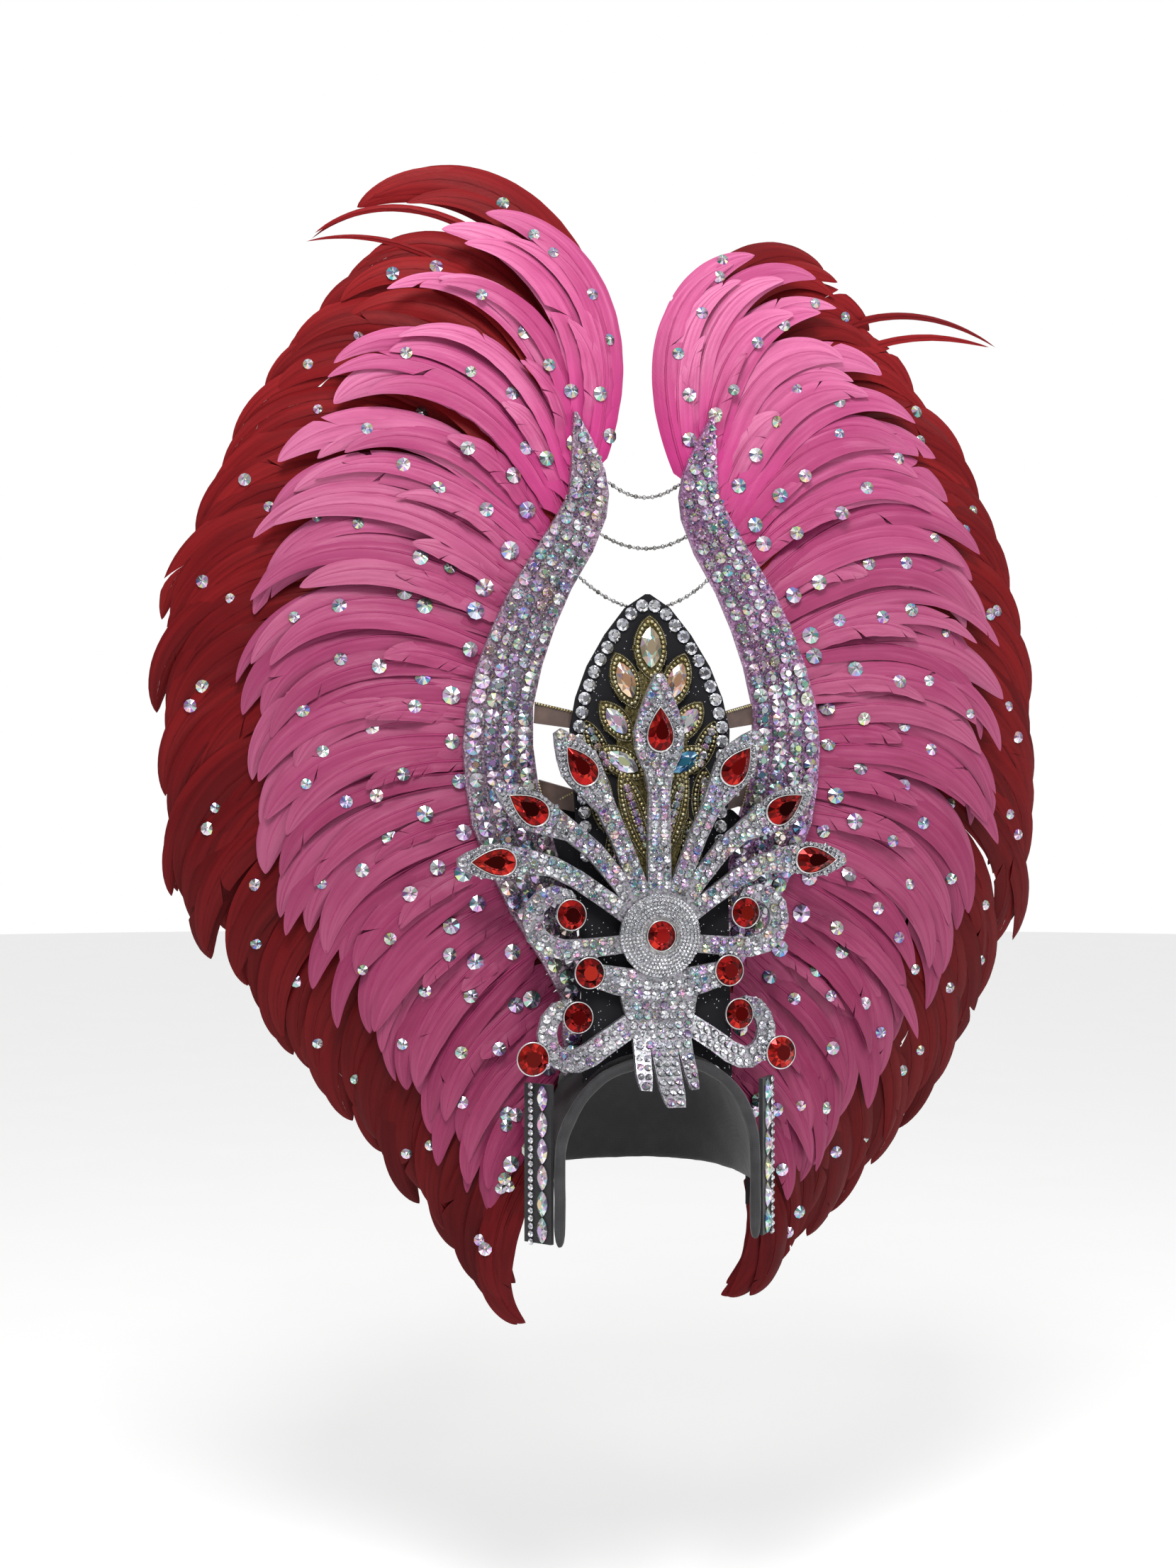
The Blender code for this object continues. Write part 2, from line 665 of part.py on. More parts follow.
def along(points, share):
    """Point of a feather line at a share of its length beyond the root."""
    place_at = 1 + share * (len(points) - 2)
    start = min(int(place_at), len(points) - 2)
    return points[start].lerp(points[start + 1], place_at - start)


def ridge(point, root, forward):
    """Move a point to or fro where the fan has risen clear of its seat."""
    rise = min((point - root).length / RIDGE_START, 1.0) * RIDGE
    return point + Vector((0, -rise if forward else rise, 0))


def make_fan(tier, side, word, finish):
    """One fan: ridged locks side by side that part into tips near their ends."""
    shape = bmesh.new()
    joined = [*FAN_RINGS, NOTCH_START]
    edges = []
    for i in range(FAN_LOCKS + 1):
        line = feather_line(i / FAN_LOCKS, side, tier)
        column = [shape.verts.new(line[0])]
        for share in joined:
            point = along(line, share)
            if tier == "red":
                point = ridge(point, line[1], False)
            column.append(shape.verts.new(point))
        edges.append(column)
    for i in range(FAN_LOCKS):
        middle = (i + 0.5) / FAN_LOCKS
        line = feather_line(middle, side, tier)
        quill = [shape.verts.new(line[0])]
        for share in joined + [NOTCH_WAIST, 1.0]:
            point = along(line, share)
            if tier == "pink":
                point = ridge(point, line[1], True)
            quill.append(shape.verts.new(point))
        for edge, offset in ((edges[i], -0.5), (edges[i + 1], 0.5)):
            side_line = feather_line(middle + offset * WAIST_WIDTH / FAN_LOCKS, side, tier)
            waist = along(side_line, NOTCH_WAIST)
            if tier == "red":
                waist = ridge(waist, side_line[1], False)
            strip = edge + [shape.verts.new(waist)]
            for k in range(len(strip) - 1):
                shape.faces.new((strip[k], quill[k], quill[k + 1], strip[k + 1]))
            shape.faces.new((strip[-1], quill[-2], quill[-1]))
    bmesh.ops.recalc_face_normals(shape, faces=shape.faces[:])
    thicken(f"{tier}_plume_{word}", shape, PLUME_WALL, finish)


def make_wing_frame(side, word):
    """The stiff backing behind each fan's seat, from the horn's tip to the strap."""
    steps = 2 * FAN_LOCKS
    y = GAP + 2 * (PLUME_WALL + GAP)
    rows = []
    for i in range(steps + 1):
        seat, root = feather_line(i / steps, 1, "pink")[:2]
        outer = root.lerp(seat, FRAME_INSET)
        inner_x = seat.x
        if root.z < FRAME_TAB_TOP:
            height = max(root.z, -CAP_SIDE_DROP)
            inner_x = cap_outer_x(HEAD_CENTRE_Y, height) + 4 * GAP
            seat.z = outer.z
        rows.append([(side * outer.x, y, outer.z), (side * inner_x, y, seat.z)])
    sheet(f"wing_frame_{word}", rows, FRAME_WALL, material("black_board", BLACK, 0.8))


def plaque_y(z):
    """Depth of the plaque's front at a height."""
    return PLAQUE_FOOT_Y + math.tan(PLAQUE_LEAN) * z


def plaque_normal():
    """Direction that the plaque's front faces."""
    return Vector((0, -math.cos(PLAQUE_LEAN), math.sin(PLAQUE_LEAN)))


def make_plaque():
    """The pointed board, its foot shaped to the crown of the cap."""
    columns = [2 * i / PLAQUE_COLUMNS - 1 for i in range(PLAQUE_COLUMNS + 1)]
    foot_half = PLAQUE_HALF_WIDTH * PLAQUE_SECTIONS[0][1]
    foot = []
    for column in columns:
        x = column * foot_half
        back_y = PLAQUE_FOOT_Y + PLAQUE_THICKNESS
        foot.append((x, cap_top_z(x, back_y) + 3 * GAP))
    rows = [foot]
    for height, half in PLAQUE_SECTIONS:
        rows.append([(column * half * PLAQUE_HALF_WIDTH, height * PLAQUE_TOP)
                     for column in columns])
    front = [[(x, plaque_y(z), z) for x, z in row] for row in rows]
    sheet("plaque", front, PLAQUE_THICKNESS, material("black_board", BLACK, 0.8))


def plaque_edge_line():
    """Points of the edge stones' row, from one foot over the point to the other."""
    right = []
    for height, half in PLAQUE_SECTIONS[1:-1]:
        right.append(Vector((half * PLAQUE_HALF_WIDTH, 0, height * PLAQUE_TOP)))
    tip = Vector((0, 0, PLAQUE_TOP))
    outline = [Vector((-point.x, 0, point.z)) for point in right] + [tip]
    outline += right[::-1]
    line = []
    for i, point in enumerate(outline):
        before = outline[max(i - 1, 0)]
        after = outline[min(i + 1, len(outline) - 1)]
        heading = (after - before).normalized()
        line.append(point + Vector((heading.z, 0, -heading.x)) * EDGE_INSET)
    tip_place = len(right)
    line[tip_place] = tip - Vector((0, 0, EDGE_TIP_INSET))
    return line


def evenly(points, pitch):
    """Points and headings a fixed distance apart along a line."""
    spots = []
    left = pitch / 2
    for start, end in zip(points, points[1:]):
        span = (end - start).length
        heading = (end - start) / span
        while left <= span:
            spots.append((start + heading * left, heading))
            left += pitch
        left -= span
    return spots


def make_plaque_edge():
    """A row of round stones, each fused to the next, along the plaque's edge."""
    crystal = material("crystal", CRYSTAL, 0.1)
    face = plaque_normal()
    half_facet = math.pi / SMALL_STONE_SIDES
    across = (EDGE_STONE_PITCH + EDGE_STONE_OVERLAP) / math.cos(half_facet)
    spots = [spot for spot in evenly(plaque_edge_line(), EDGE_STONE_PITCH)
             if spot[0].z > EDGE_STONES_END]
    for i, (spot, heading) in enumerate(spots):
        name, group = f"edge_stone_tool_{i}", "edge_stone_tools"
        if i == 0:
            name, group = "plaque_edge_stones", "feather_headdress"
        stone = cut_stone(name, "round", across, across, EDGE_STONE_HEIGHT, crystal,
                          SMALL_STONE_SIDES, group, girdle=False)
        seat = Vector((spot.x, plaque_y(spot.z), spot.z))
        seat += face * (GAP + EDGE_STONE_STEP * (i % 2))
        turn = Matrix.Rotation(half_facet, 3, face)
        place(stone, seat, face, turn @ heading)
        if i == 0:
            first = stone
    unite(first, "edge_stone_tools")


def applique_petals():
    """Each petal's name, centre (x, z), length, width, lean and stone flag."""
    rows = []
    for name, x, z, length, width, lean, jewel in APPLIQUE_PETALS:
        for side in ((0,) if x == 0 else (-1, 1)):
            word = {0: "middle", -1: "right", 1: "left"}[side]
            centre = (side * x * APPLIQUE_HALF_WIDTH,
                      APPLIQUE_CENTRE + z * APPLIQUE_HALF_HEIGHT)
            rows.append((f"{name}_{word}", centre, length * APPLIQUE_HALF_HEIGHT,
                         width * APPLIQUE_HALF_WIDTH, side * lean, jewel))
    return rows


def make_applique():
    """Gold petals fused on a leaf-shaped ground, with a marquise stone in most."""
    gold = material("antique_gold", GOLD, 0.35, 0.9)
    crystal = material("crystal", CRYSTAL, 0.1)
    face = plaque_normal()

    def leaf(name, centre, length, width, lean, rise, group):
        """A pointed leaf standing on the plaque."""
        outline = stone_outline("marquise", width, length, LEAF_SIDES)
        rings = [[(x, y, level) for x, y in outline] for level in (0.0, rise)]
        piece = ring_loft(name, rings, gold, group)
        up = Vector((math.sin(math.radians(lean)), 0, math.cos(math.radians(lean))))
        seat = (centre[0], plaque_y(centre[1]), centre[1])
        return place(piece, seat, face, up)

    ground_centre = (0, APPLIQUE_CENTRE - GROUND_DROP_SHARE * APPLIQUE_HALF_HEIGHT)
    ground = leaf("applique", ground_centre, GROUND_LENGTH_SHARE * APPLIQUE_HALF_HEIGHT,
                  GROUND_WIDTH_SHARE * APPLIQUE_HALF_WIDTH, 0, APPLIQUE_THICKNESS,
                  "feather_headdress")
    for i, (name, centre, length, width, lean, jewel) in enumerate(applique_petals()):
        rise = APPLIQUE_THICKNESS + (i + 1) * PETAL_STEP
        leaf(f"petal_tool_{name}", centre, length, width, lean, rise, "petal_tools")
        if jewel:
            stone = cut_stone(f"marquise_{name}", "marquise", width * PETAL_STONE_SHARE,
                              length * PETAL_STONE_SHARE, PETAL_STONE_HEIGHT, crystal,
                              SMALL_STONE_SIDES)
            top = APPLIQUE_THICKNESS + (len(applique_petals()) + 1) * PETAL_STEP
            seat = Vector((centre[0], plaque_y(centre[1]), centre[1])) + face * (top + GAP)
            up = (math.sin(math.radians(lean)), 0, math.cos(math.radians(lean)))
            place(stone, seat, face, up)
    unite(ground, "petal_tools")


def ornament_y(x, z):
    """Depth of the ornament's front: flat above, swelling over the forehead."""
    y = ORNAMENT_FRONT_Y + ORNAMENT_SWEEP * (x / ORNAMENT_SPAN) ** 2
    if z < FOREHEAD_BEND_Z:
        drop = (FOREHEAD_BEND_Z - z) / FOREHEAD_BEND_DROP
        swell = math.exp(-(x / FOREHEAD_WIDTH) ** 2)
        y -= FOREHEAD_BULGE * drop ** FOREHEAD_POWER * swell
    return y


def band_order(name, side):
    """How many steps back a band lies, so that no two fronts are in one plane."""
    centre = list(BANDS_ON_CENTRE)
    if name in centre:
        return centre.index(name)
    place_in_list = list(BANDS_ON_SIDES).index(name)
    return len(centre) + 2 * place_in_list + (1 if side > 0 else 0)


def ornament_point(x_share, z_share, order=0):
    """Point on the front of an ornament band from its shares."""
    x = x_share * ORNAMENT_SPAN
    z = MEDALLION_Z + z_share * ORNAMENT_RISE
    return Vector((x, ornament_y(x, z) + order * BAND_STEP, z))


def ornament_normal(point):
    """Direction that the ornament's front faces at a point."""
    step = 0.001
    slope_x = (ornament_y(point.x + step, point.z)
               - ornament_y(point.x - step, point.z)) / (2 * step)
    slope_z = (ornament_y(point.x, point.z + step)
               - ornament_y(point.x, point.z - step)) / (2 * step)
    return Vector((slope_x, -1.0, slope_z)).normalized()


def make_band(name, knots, side, finish):
    """A flat band along a curve, following the ornament's front."""
    steps = round(BAND_STEPS[name])
    order = band_order(name, side)
    rows = []
    path = [blend(knots, i / steps) for i in range(steps + 1)]
    for i, (x_share, z_share, width) in enumerate(path):
        before, after = path[max(i - 1, 0)], path[min(i + 1, steps)]
        heading = Vector(((after[0] - before[0]) * ORNAMENT_SPAN,
                          (after[1] - before[1]) * ORNAMENT_RISE)).normalized()
        row = []
        for edge in (-0.5, 0.5):
            x = x_share * ORNAMENT_SPAN + edge * heading.y * width * MEDALLION_RADIUS
            z = (MEDALLION_Z + z_share * ORNAMENT_RISE
                 - edge * heading.x * width * MEDALLION_RADIUS)
            row.append((side * x, ornament_y(x, z) + order * BAND_STEP, z))
        rows.append(row)
    back = [[(x, y + ORNAMENT_THICKNESS, z) for x, y, z in row] for row in rows]
    return closed_plate(f"{name}_tool_{side}", rows, back, finish, "band_tools")


def make_ornament():
    """The spray: a hub behind the medallion with every band fused to it."""
    silver = material("crystal_cloth", SILVER, 0.3)
    hub_back = plaque_y(MEDALLION_Z - HUB_RADIUS) - 2 * GAP
    front = ORNAMENT_FRONT_Y - BAND_STEP
    circle = stone_outline("round", 2 * HUB_RADIUS, 2 * HUB_RADIUS, DISC_SIDES)
    rings = [[(x, y, level) for x, y in circle] for level in (0.0, hub_back - front)]
    hub = ring_loft("front_ornament", rings, silver)
    place(hub, (0, hub_back + GAP, MEDALLION_Z), (0, -1, 0), (0, 0, 1))
    for name, knots in BANDS_ON_CENTRE.items():
        make_band(name, knots, 1, silver)
    for name, knots in BANDS_ON_SIDES.items():
        for side in (-1, 1):
            make_band(name, knots, side, silver)
    unite(hub, "band_tools")


def make_medallion():
    """A turned disc of rising rings with a seat for the middle stone."""
    seat_radius = ROUND_STONE / 2 + 3 * GAP
    seat_level = MEDALLION_RISE - MEDALLION_SEAT_DEPTH
    profile = [(0, seat_level), (seat_radius, seat_level), (seat_radius, MEDALLION_RISE)]
    profile += [(MEDALLION_RADIUS * out, MEDALLION_RISE * rise)
                for out, rise in MEDALLION_RINGS]
    profile += [(MEDALLION_RADIUS, 0), (0, 0)]
    mesh = bpy.data.meshes.new("medallion")
    verts = [(radius, 0, level) for radius, level in profile]
    mesh.from_pydata(verts, [(i, i + 1) for i in range(len(verts) - 1)], [])
    disc = add_object("medallion", mesh, material("crystal_cloth", SILVER, 0.3))
    turn = disc.modifiers.new("turn", "SCREW")
    turn.steps = DISC_SIDES
    turn.render_steps = DISC_SIDES
    turn.use_merge_vertices = True
    turn.merge_threshold = 0.0001
    place(disc, ornament_point(0, 0), (0, -1, 0), (0, 0, 1))
    stone = cut_stone("red_round_centre", "round", ROUND_STONE, ROUND_STONE,
                      RED_STONE_HEIGHT, material("red_stone", RUBY, 0.1))
    seat = ornament_point(0, 0) + Vector((0, -GAP - seat_level, 0))
    place(stone, seat, (0, -1, 0), (0, 0, 1))


def make_red_stones():
    """Teardrops on the petals, round stones on the curls and at the tips."""
    ruby = material("red_stone", RUBY, 0.1)

    def seat_stone(band, side, kind, width, length, x_share, z_share, lean):
        """One stone flat on the front of a band."""
        word = {0: "middle", -1: "right", 1: "left"}[side]
        stone = cut_stone(f"red_{kind}_{band}_{word}", kind, width, length,
                          RED_STONE_HEIGHT, ruby)
        point = ornament_point(side * x_share, z_share, band_order(band, side))
        up = (math.sin(math.radians(side * lean)), 0, math.cos(math.radians(lean)))
        normal = ornament_normal(point)
        place(stone, point + normal * GAP, normal, up)

    seat_stone("top_arm", 0, "tear", TEAR_WIDTH, TEAR_LENGTH, 0, 1.0, 0)
    for side in (-1, 1):
        for band, x, z, lean in TEAR_SEATS:
            seat_stone(band, side, "tear", TEAR_WIDTH, TEAR_LENGTH, x, z, lean)
        for band, x, z, size in ROUND_SEATS:
            seat_stone(band, side, "round", size, size, x, z, 0)


def make_chains():
    """Bead chains that sag from horn to horn, each as one round bar."""
    for name, end_share, low_share, middle_y, end_gap in CHAINS:
        end_z, low_z = end_share * HORN_TOP, low_share * HORN_TOP
        reach = horn_edge(end_z, 1) - end_gap
        end_y = HORN_FRONT_Y + HORN_THICKNESS / 2
        points = []
        for i in range(CHAIN_STEPS + 1):
            t = 2 * i / CHAIN_STEPS - 1
            points.append((t * reach, middle_y + (end_y - middle_y) * t * t,
                           low_z + (end_z - low_z) * t * t))
        tube(name, points, CHAIN_RADIUS, material("silver_chain", SILVER, 0.25, 0.9))


def make_braces():
    """Brown strips that pass behind the plaque and meet both horns."""
    end_y = HORN_FRONT_Y + 2 * HORN_CROWN
    for name, end_share, end_width, mid_share, mid_width in BRACES:
        end_z, mid_z = end_share * HORN_TOP, mid_share * HORN_TOP
        rows = []
        for t in (-1.0, -BRACE_BEND, -BRACE_BEND / 2, 0.0, BRACE_BEND / 2, BRACE_BEND, 1.0):
            share = abs(t)
            z = mid_z + (end_z - mid_z) * share
            width = mid_width + (end_width - mid_width) * share
            y = end_y
            if share <= BRACE_BEND:
                y = plaque_y(z + width / 2) + PLAQUE_THICKNESS / math.cos(PLAQUE_LEAN) + 2 * GAP
            row = []
            for level in (z - width / 2, z + width / 2):
                reach = horn_edge(level, 1) - 2 * GAP
                row.append((t * reach, y, level))
            rows.append(row)
        sheet(name, rows, BRACE_THICKNESS, material("brown_cloth", BROWN, 0.7))


def main():
    """Clear the scene and build every piece."""
    for old in list(bpy.data.objects):
        bpy.data.objects.remove(old)
    make_cap()
    make_rim()
    make_plaque()
    make_plaque_edge()
    make_applique()
    make_ornament()
    make_medallion()
    make_red_stones()
    make_chains()
    make_braces()
    for side, word in ((-1, "right"), (1, "left")):
        make_strap(side, word)
        make_horn(side, word)
        make_wing_frame(side, word)
        make_fan("pink", side, word, material("pink_feather", PINK, 0.8))
        make_fan("red", side, word, material("red_feather", RED, 0.8))


main()
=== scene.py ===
"""Looks of a carnival feather headdress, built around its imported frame.

Metres, +Z up, the wearer facing -Y, +X towards the wearer's left. Feathers, cut
stones and beads are made here; the cap, horns, plaque, spray and straps are the
frame's own solids with finished materials.
"""
import math

import bmesh
import bpy
import numpy as np
from mathutils import Matrix, Vector
from mathutils.bvhtree import BVHTree


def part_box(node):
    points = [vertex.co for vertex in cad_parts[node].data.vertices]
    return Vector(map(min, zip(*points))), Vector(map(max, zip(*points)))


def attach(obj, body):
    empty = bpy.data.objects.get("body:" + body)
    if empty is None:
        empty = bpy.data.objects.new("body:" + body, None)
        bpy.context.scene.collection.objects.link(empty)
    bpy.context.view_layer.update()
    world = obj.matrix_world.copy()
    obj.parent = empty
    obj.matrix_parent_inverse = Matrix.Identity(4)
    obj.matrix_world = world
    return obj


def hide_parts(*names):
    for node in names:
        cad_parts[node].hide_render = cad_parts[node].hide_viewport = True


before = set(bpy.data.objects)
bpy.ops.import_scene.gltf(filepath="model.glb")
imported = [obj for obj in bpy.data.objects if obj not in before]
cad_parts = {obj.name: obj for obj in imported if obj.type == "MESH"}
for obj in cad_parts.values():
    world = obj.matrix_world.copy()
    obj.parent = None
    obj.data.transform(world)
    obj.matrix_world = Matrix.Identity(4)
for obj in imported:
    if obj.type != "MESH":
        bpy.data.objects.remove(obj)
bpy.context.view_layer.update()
rng = np.random.default_rng(41)

# Camera, in the row frame
CAMERA_PLACE = (-0.4523, -1.6535, 0.185)
CAMERA_YAW = math.radians(-14)
CAMERA_LENS = 55.33
FLOOR_Z = -0.46

# Horns and fans, as the solids have them
HORN_TOP = 0.447
HORN_REACH = 0.131
PINK_LENGTH = 0.205
RED_LENGTH = 0.285
FAN_SWEEP = math.radians(24)
SWEEP_AT_ROOT = 0.18
SWEEP_PER_METRE = 3.0
RED_EXTRA_SWEEP = math.radians(4.6)
FAN_SEAT = 0.012
PINK_SEAT_Y = 0.0012
RED_SEAT_Y = 0.0036
HORN_CLEAR = 0.014
LOW_SEAT = 0.030

# Feather roots and directions down each horn, as the solids have them. Angles are
# in degrees from straight outward, lengths are shares of the fans' lengths.
FAN_STATIONS = np.array([
    # root x, root z, start, end, pink left, red left, pink right, red right, sweep
    (0.229, 0.886, 110, 30, 1.03, 0.80, 1.08, 0.87, 0.42),
    (0.313, 0.940, 97, 22, 0.91, 0.75, 0.99, 0.84, 0.50),
    (0.405, 0.877, 76, 0, 0.92, 0.83, 1.00, 0.91, 0.67),
    (0.550, 0.774, 48, -24, 1.03, 0.96, 1.08, 0.99, 0.83),
    (0.786, 0.644, 26, -44, 1.01, 0.99, 0.98, 0.97, 0.92),
    (0.916, 0.481, 4, -60, 0.98, 0.97, 0.90, 0.92, 1.00),
    (0.840, 0.313, -17, -74, 0.94, 0.91, 0.80, 0.78, 1.04),
    (0.630, 0.161, -36, -84, 0.88, 0.85, 0.73, 0.74, 1.04),
    (0.440, 0.011, -40, -90, 0.72, 0.70, 0.64, 0.65, 1.08),
    (0.641, -0.134, -62, -106, 0.40, 0.47, 0.42, 0.48, 1.08),
    (0.633, -0.277, -68, -118, 0.22, 0.28, 0.28, 0.34, 1.08),
])

# Layers of feathers, from the back to the front of each fan
PINK_LAYERS = [
    # count, first and last share down the horn, length share and its spread, width,
    # forward, twist, frayed
    (20, 0.60, 0.84, 0.62, 0.10, 0.030, -0.0006, 8, False),
    (24, 0.00, 0.88, 1.05, 0.07, 0.028, 0.0000, 15, False),
    (24, 0.00, 0.87, 0.98, 0.12, 0.026, 0.0024, 18, False),
    (20, 0.00, 0.86, 0.88, 0.15, 0.025, 0.0050, 20, False),
    (16, 0.00, 0.86, 0.50, 0.22, 0.019, 0.0072, 22, True),
]
RED_LAYERS = [
    (32, 0.09, 0.97, 1.05, 0.04, 0.036, -0.0014, 10, False),
    (30, 0.08, 0.97, 1.04, 0.05, 0.034, 0.0010, 13, False),
    (26, 0.08, 0.97, 0.98, 0.08, 0.032, 0.0034, 16, False),
]
PINK_DROOP = -30
RED_DROOP = -64
BUNDLE = 3
SPLIT_CHANCE = 0.35

# Loose wisps of red: side, share down the horn, length share, turn, curl in degrees
WISPS = [(-1, 0.14, 1.30, 0, -20), (-1, 0.18, 1.15, 0, 0), (-1, 0.12, 1.28, -6, -16),
         (1, 0.22, 1.45, 0, 40), (1, 0.24, 1.30, 0, 40)]
WISP_WIDTH = 0.006

# Longer red at the wearer's right of the top, as in the photo
TOP_RED_SHARE = 0.10
TOP_RED_SPREAD = 0.05
TOP_RED_GAIN = 0.22
RED_SIDE_GAIN = {-1: 0.045, 1: 0.075}

# Heights between which painted shade darkens the fans' colour, most at the lower one
PAINTED_SHADE_LOW = -0.10
PAINTED_SHADE_HIGH = 0.52

# Facet colours of coated, clear and red stones: their tints, with light and dark facets that
# are painted reflection; the clear stones' greys are all painted reflection
COATED = np.array([
    (0.74, 0.74, 0.78), (0.38, 0.37, 0.40), (0.09, 0.08, 0.10), (0.54, 0.32, 0.66),
    (0.26, 0.08, 0.44), (0.24, 0.56, 0.38), (0.06, 0.42, 0.48), (0.62, 0.68, 0.22),
    (0.78, 0.36, 0.58), (0.10, 0.20, 0.66), (0.82, 0.46, 0.26), (1.00, 1.00, 1.00)])
COATED_SHARES = np.array([16, 16, 10, 12, 6, 9, 6, 6, 9, 3, 3, 4]) / 100
CLEAR = np.array([
    (0.92, 0.92, 0.94), (0.66, 0.67, 0.70), (0.42, 0.43, 0.47), (0.22, 0.22, 0.25),
    (0.07, 0.07, 0.08), (0.62, 0.64, 0.78)])
CLEAR_SHARES = np.array([24, 24, 20, 14, 10, 8]) / 100
RUBY = np.array([
    (0.34, 0.006, 0.006), (0.18, 0.002, 0.002), (0.075, 0.001, 0.001),
    (0.60, 0.030, 0.016), (0.03, 0.001, 0.001), (0.46, 0.010, 0.009)])
RUBY_SHARES = np.array([28, 24, 18, 8, 10, 12]) / 100
# Opal and blue stones: their tints, with light and dark facets that are painted reflection
OPAL = np.array([
    (0.66, 0.36, 0.20), (0.52, 0.24, 0.15), (0.26, 0.52, 0.42), (0.24, 0.34, 0.58),
    (0.80, 0.66, 0.48), (0.16, 0.13, 0.10), (0.60, 0.30, 0.46)])
OPAL_SHARES = np.array([24, 14, 14, 12, 18, 10, 8]) / 100
BLUE = np.array([
    (0.03, 0.10, 0.36), (0.02, 0.22, 0.36), (0.14, 0.34, 0.50), (0.42, 0.50, 0.62),
    (0.02, 0.05, 0.20)])
BLUE_SHARES = np.array([28, 24, 20, 14, 14]) / 100


class Pile:
    """Many small shapes gathered into one mesh, with one colour on each face."""

    def __init__(self):
        self.points = []
        self.faces = []
        self.colours = []
        self.count = 0

    def add(self, points, faces, colours):
        """Add one shape: its points, its faces and a colour for each face."""
        self.points.append(np.asarray(points, float))
        base = self.count
        self.faces.extend([base + i for i in face] for face in faces)
        self.colours.extend(colours)
        self.count += len(points)

    def make(self, name, finish, slot, nodes=(), smooth=False):
        """Turn the pile into a piece that rides on the frame."""
        mesh = bpy.data.meshes.new(name)
        mesh.from_pydata(np.concatenate(self.points).tolist(), [], self.faces)
        tint = mesh.color_attributes.new("tint", "FLOAT_COLOR", "CORNER")
        sizes = [len(face) for face in self.faces]
        colours = np.repeat(np.array(self.colours, float), sizes, axis=0)
        colours = np.hstack([colours, np.ones((len(colours), 1))])
        tint.data.foreach_set("color", colours.ravel())
        if smooth:
            mesh.shade_smooth()
        return add_piece(name, mesh, finish, nodes)


def add_piece(name, mesh, finish, nodes=()):
    """Put a mesh in the scene as a piece of the headdress."""
    piece = bpy.data.objects.new(name, mesh)
    bpy.context.scene.collection.objects.link(piece)
    mesh.materials.clear()
    mesh.materials.append(finish)
    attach(piece, "root")
    if nodes:
        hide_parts(*nodes)
    return piece


# Materials

class Finish:
    """A procedural material being wired up."""

    def __init__(self, name, **values):
        self.material = bpy.data.materials.new(name)
        self.material.use_nodes = True
        self.tree = self.material.node_tree
        self.shader = self.tree.nodes["Principled BSDF"]
        for key, value in values.items():
            self.shader.inputs[key.replace("_", " ")].default_value = value

    def node(self, kind, inputs=None, **settings):
        """Add a node; inputs are values or the outputs that feed them."""
        made = self.tree.nodes.new(kind)
        for key, value in settings.items():
            setattr(made, key, value)
        for key, value in (inputs or {}).items():
            if isinstance(value, bpy.types.NodeSocket):
                self.tree.links.new(value, made.inputs[key])
            else:
                made.inputs[key].default_value = value
        return made

    def math(self, operation, a, b=0.0, clamp=False):
        """One number from two."""
        return self.node("ShaderNodeMath", {0: a, 1: b}, operation=operation,
                         use_clamp=clamp).outputs[0]

    def mix(self, factor, a, b, blend="MIX"):
        """One colour from two."""
        made = self.node("ShaderNodeMix", {0: factor, 6: a, 7: b}, data_type="RGBA",
                         blend_type=blend)
        return made.outputs[2]

    def ramp(self, factor, stops):
        """Colour from a number by (place, colour) stops."""
        made = self.node("ShaderNodeValToRGB", {0: factor})
        elements = made.color_ramp.elements
        while len(elements) < len(stops):
            elements.new(0.5)
        for element, (place, colour) in zip(elements, stops):
            element.position = place
            element.color = (*colour, 1.0)
        return made.outputs[0]

    def spread(self, factor, low, high, start=0.0, end=1.0):
        """Map start to end onto low to high."""
        return self.node("ShaderNodeMapRange", {0: factor, 1: start, 2: end, 3: low,
                                                4: high}).outputs[0]

    def noise(self, scale, detail=2.0, vector=None, roughness=0.5):
        """Noise in the object's own space."""
        if vector is None:
            vector = self.node("ShaderNodeTexCoord").outputs["Object"]
        made = self.node("ShaderNodeTexNoise", {"Vector": vector, "Scale": scale,
                                                "Detail": detail, "Roughness": roughness})
        return made.outputs[0]

    def attribute(self, name):
        """A mesh attribute's vector."""
        return self.node("ShaderNodeAttribute", attribute_name=name).outputs["Vector"]

    def wire(self, **links):
        """Feed outputs into the shader's sockets."""
        for key, value in links.items():
            self.tree.links.new(value, self.shader.inputs[key.replace("_", " ")])
        return self.material

    def bump(self, height, strength, distance):
        """A normal from a height."""
        return self.node("ShaderNodeBump", {"Height": height, "Strength": strength,
                                            "Distance": distance}).outputs[0]


def rgba(colour):
    """A colour with full opacity."""
    return (*colour, 1.0)


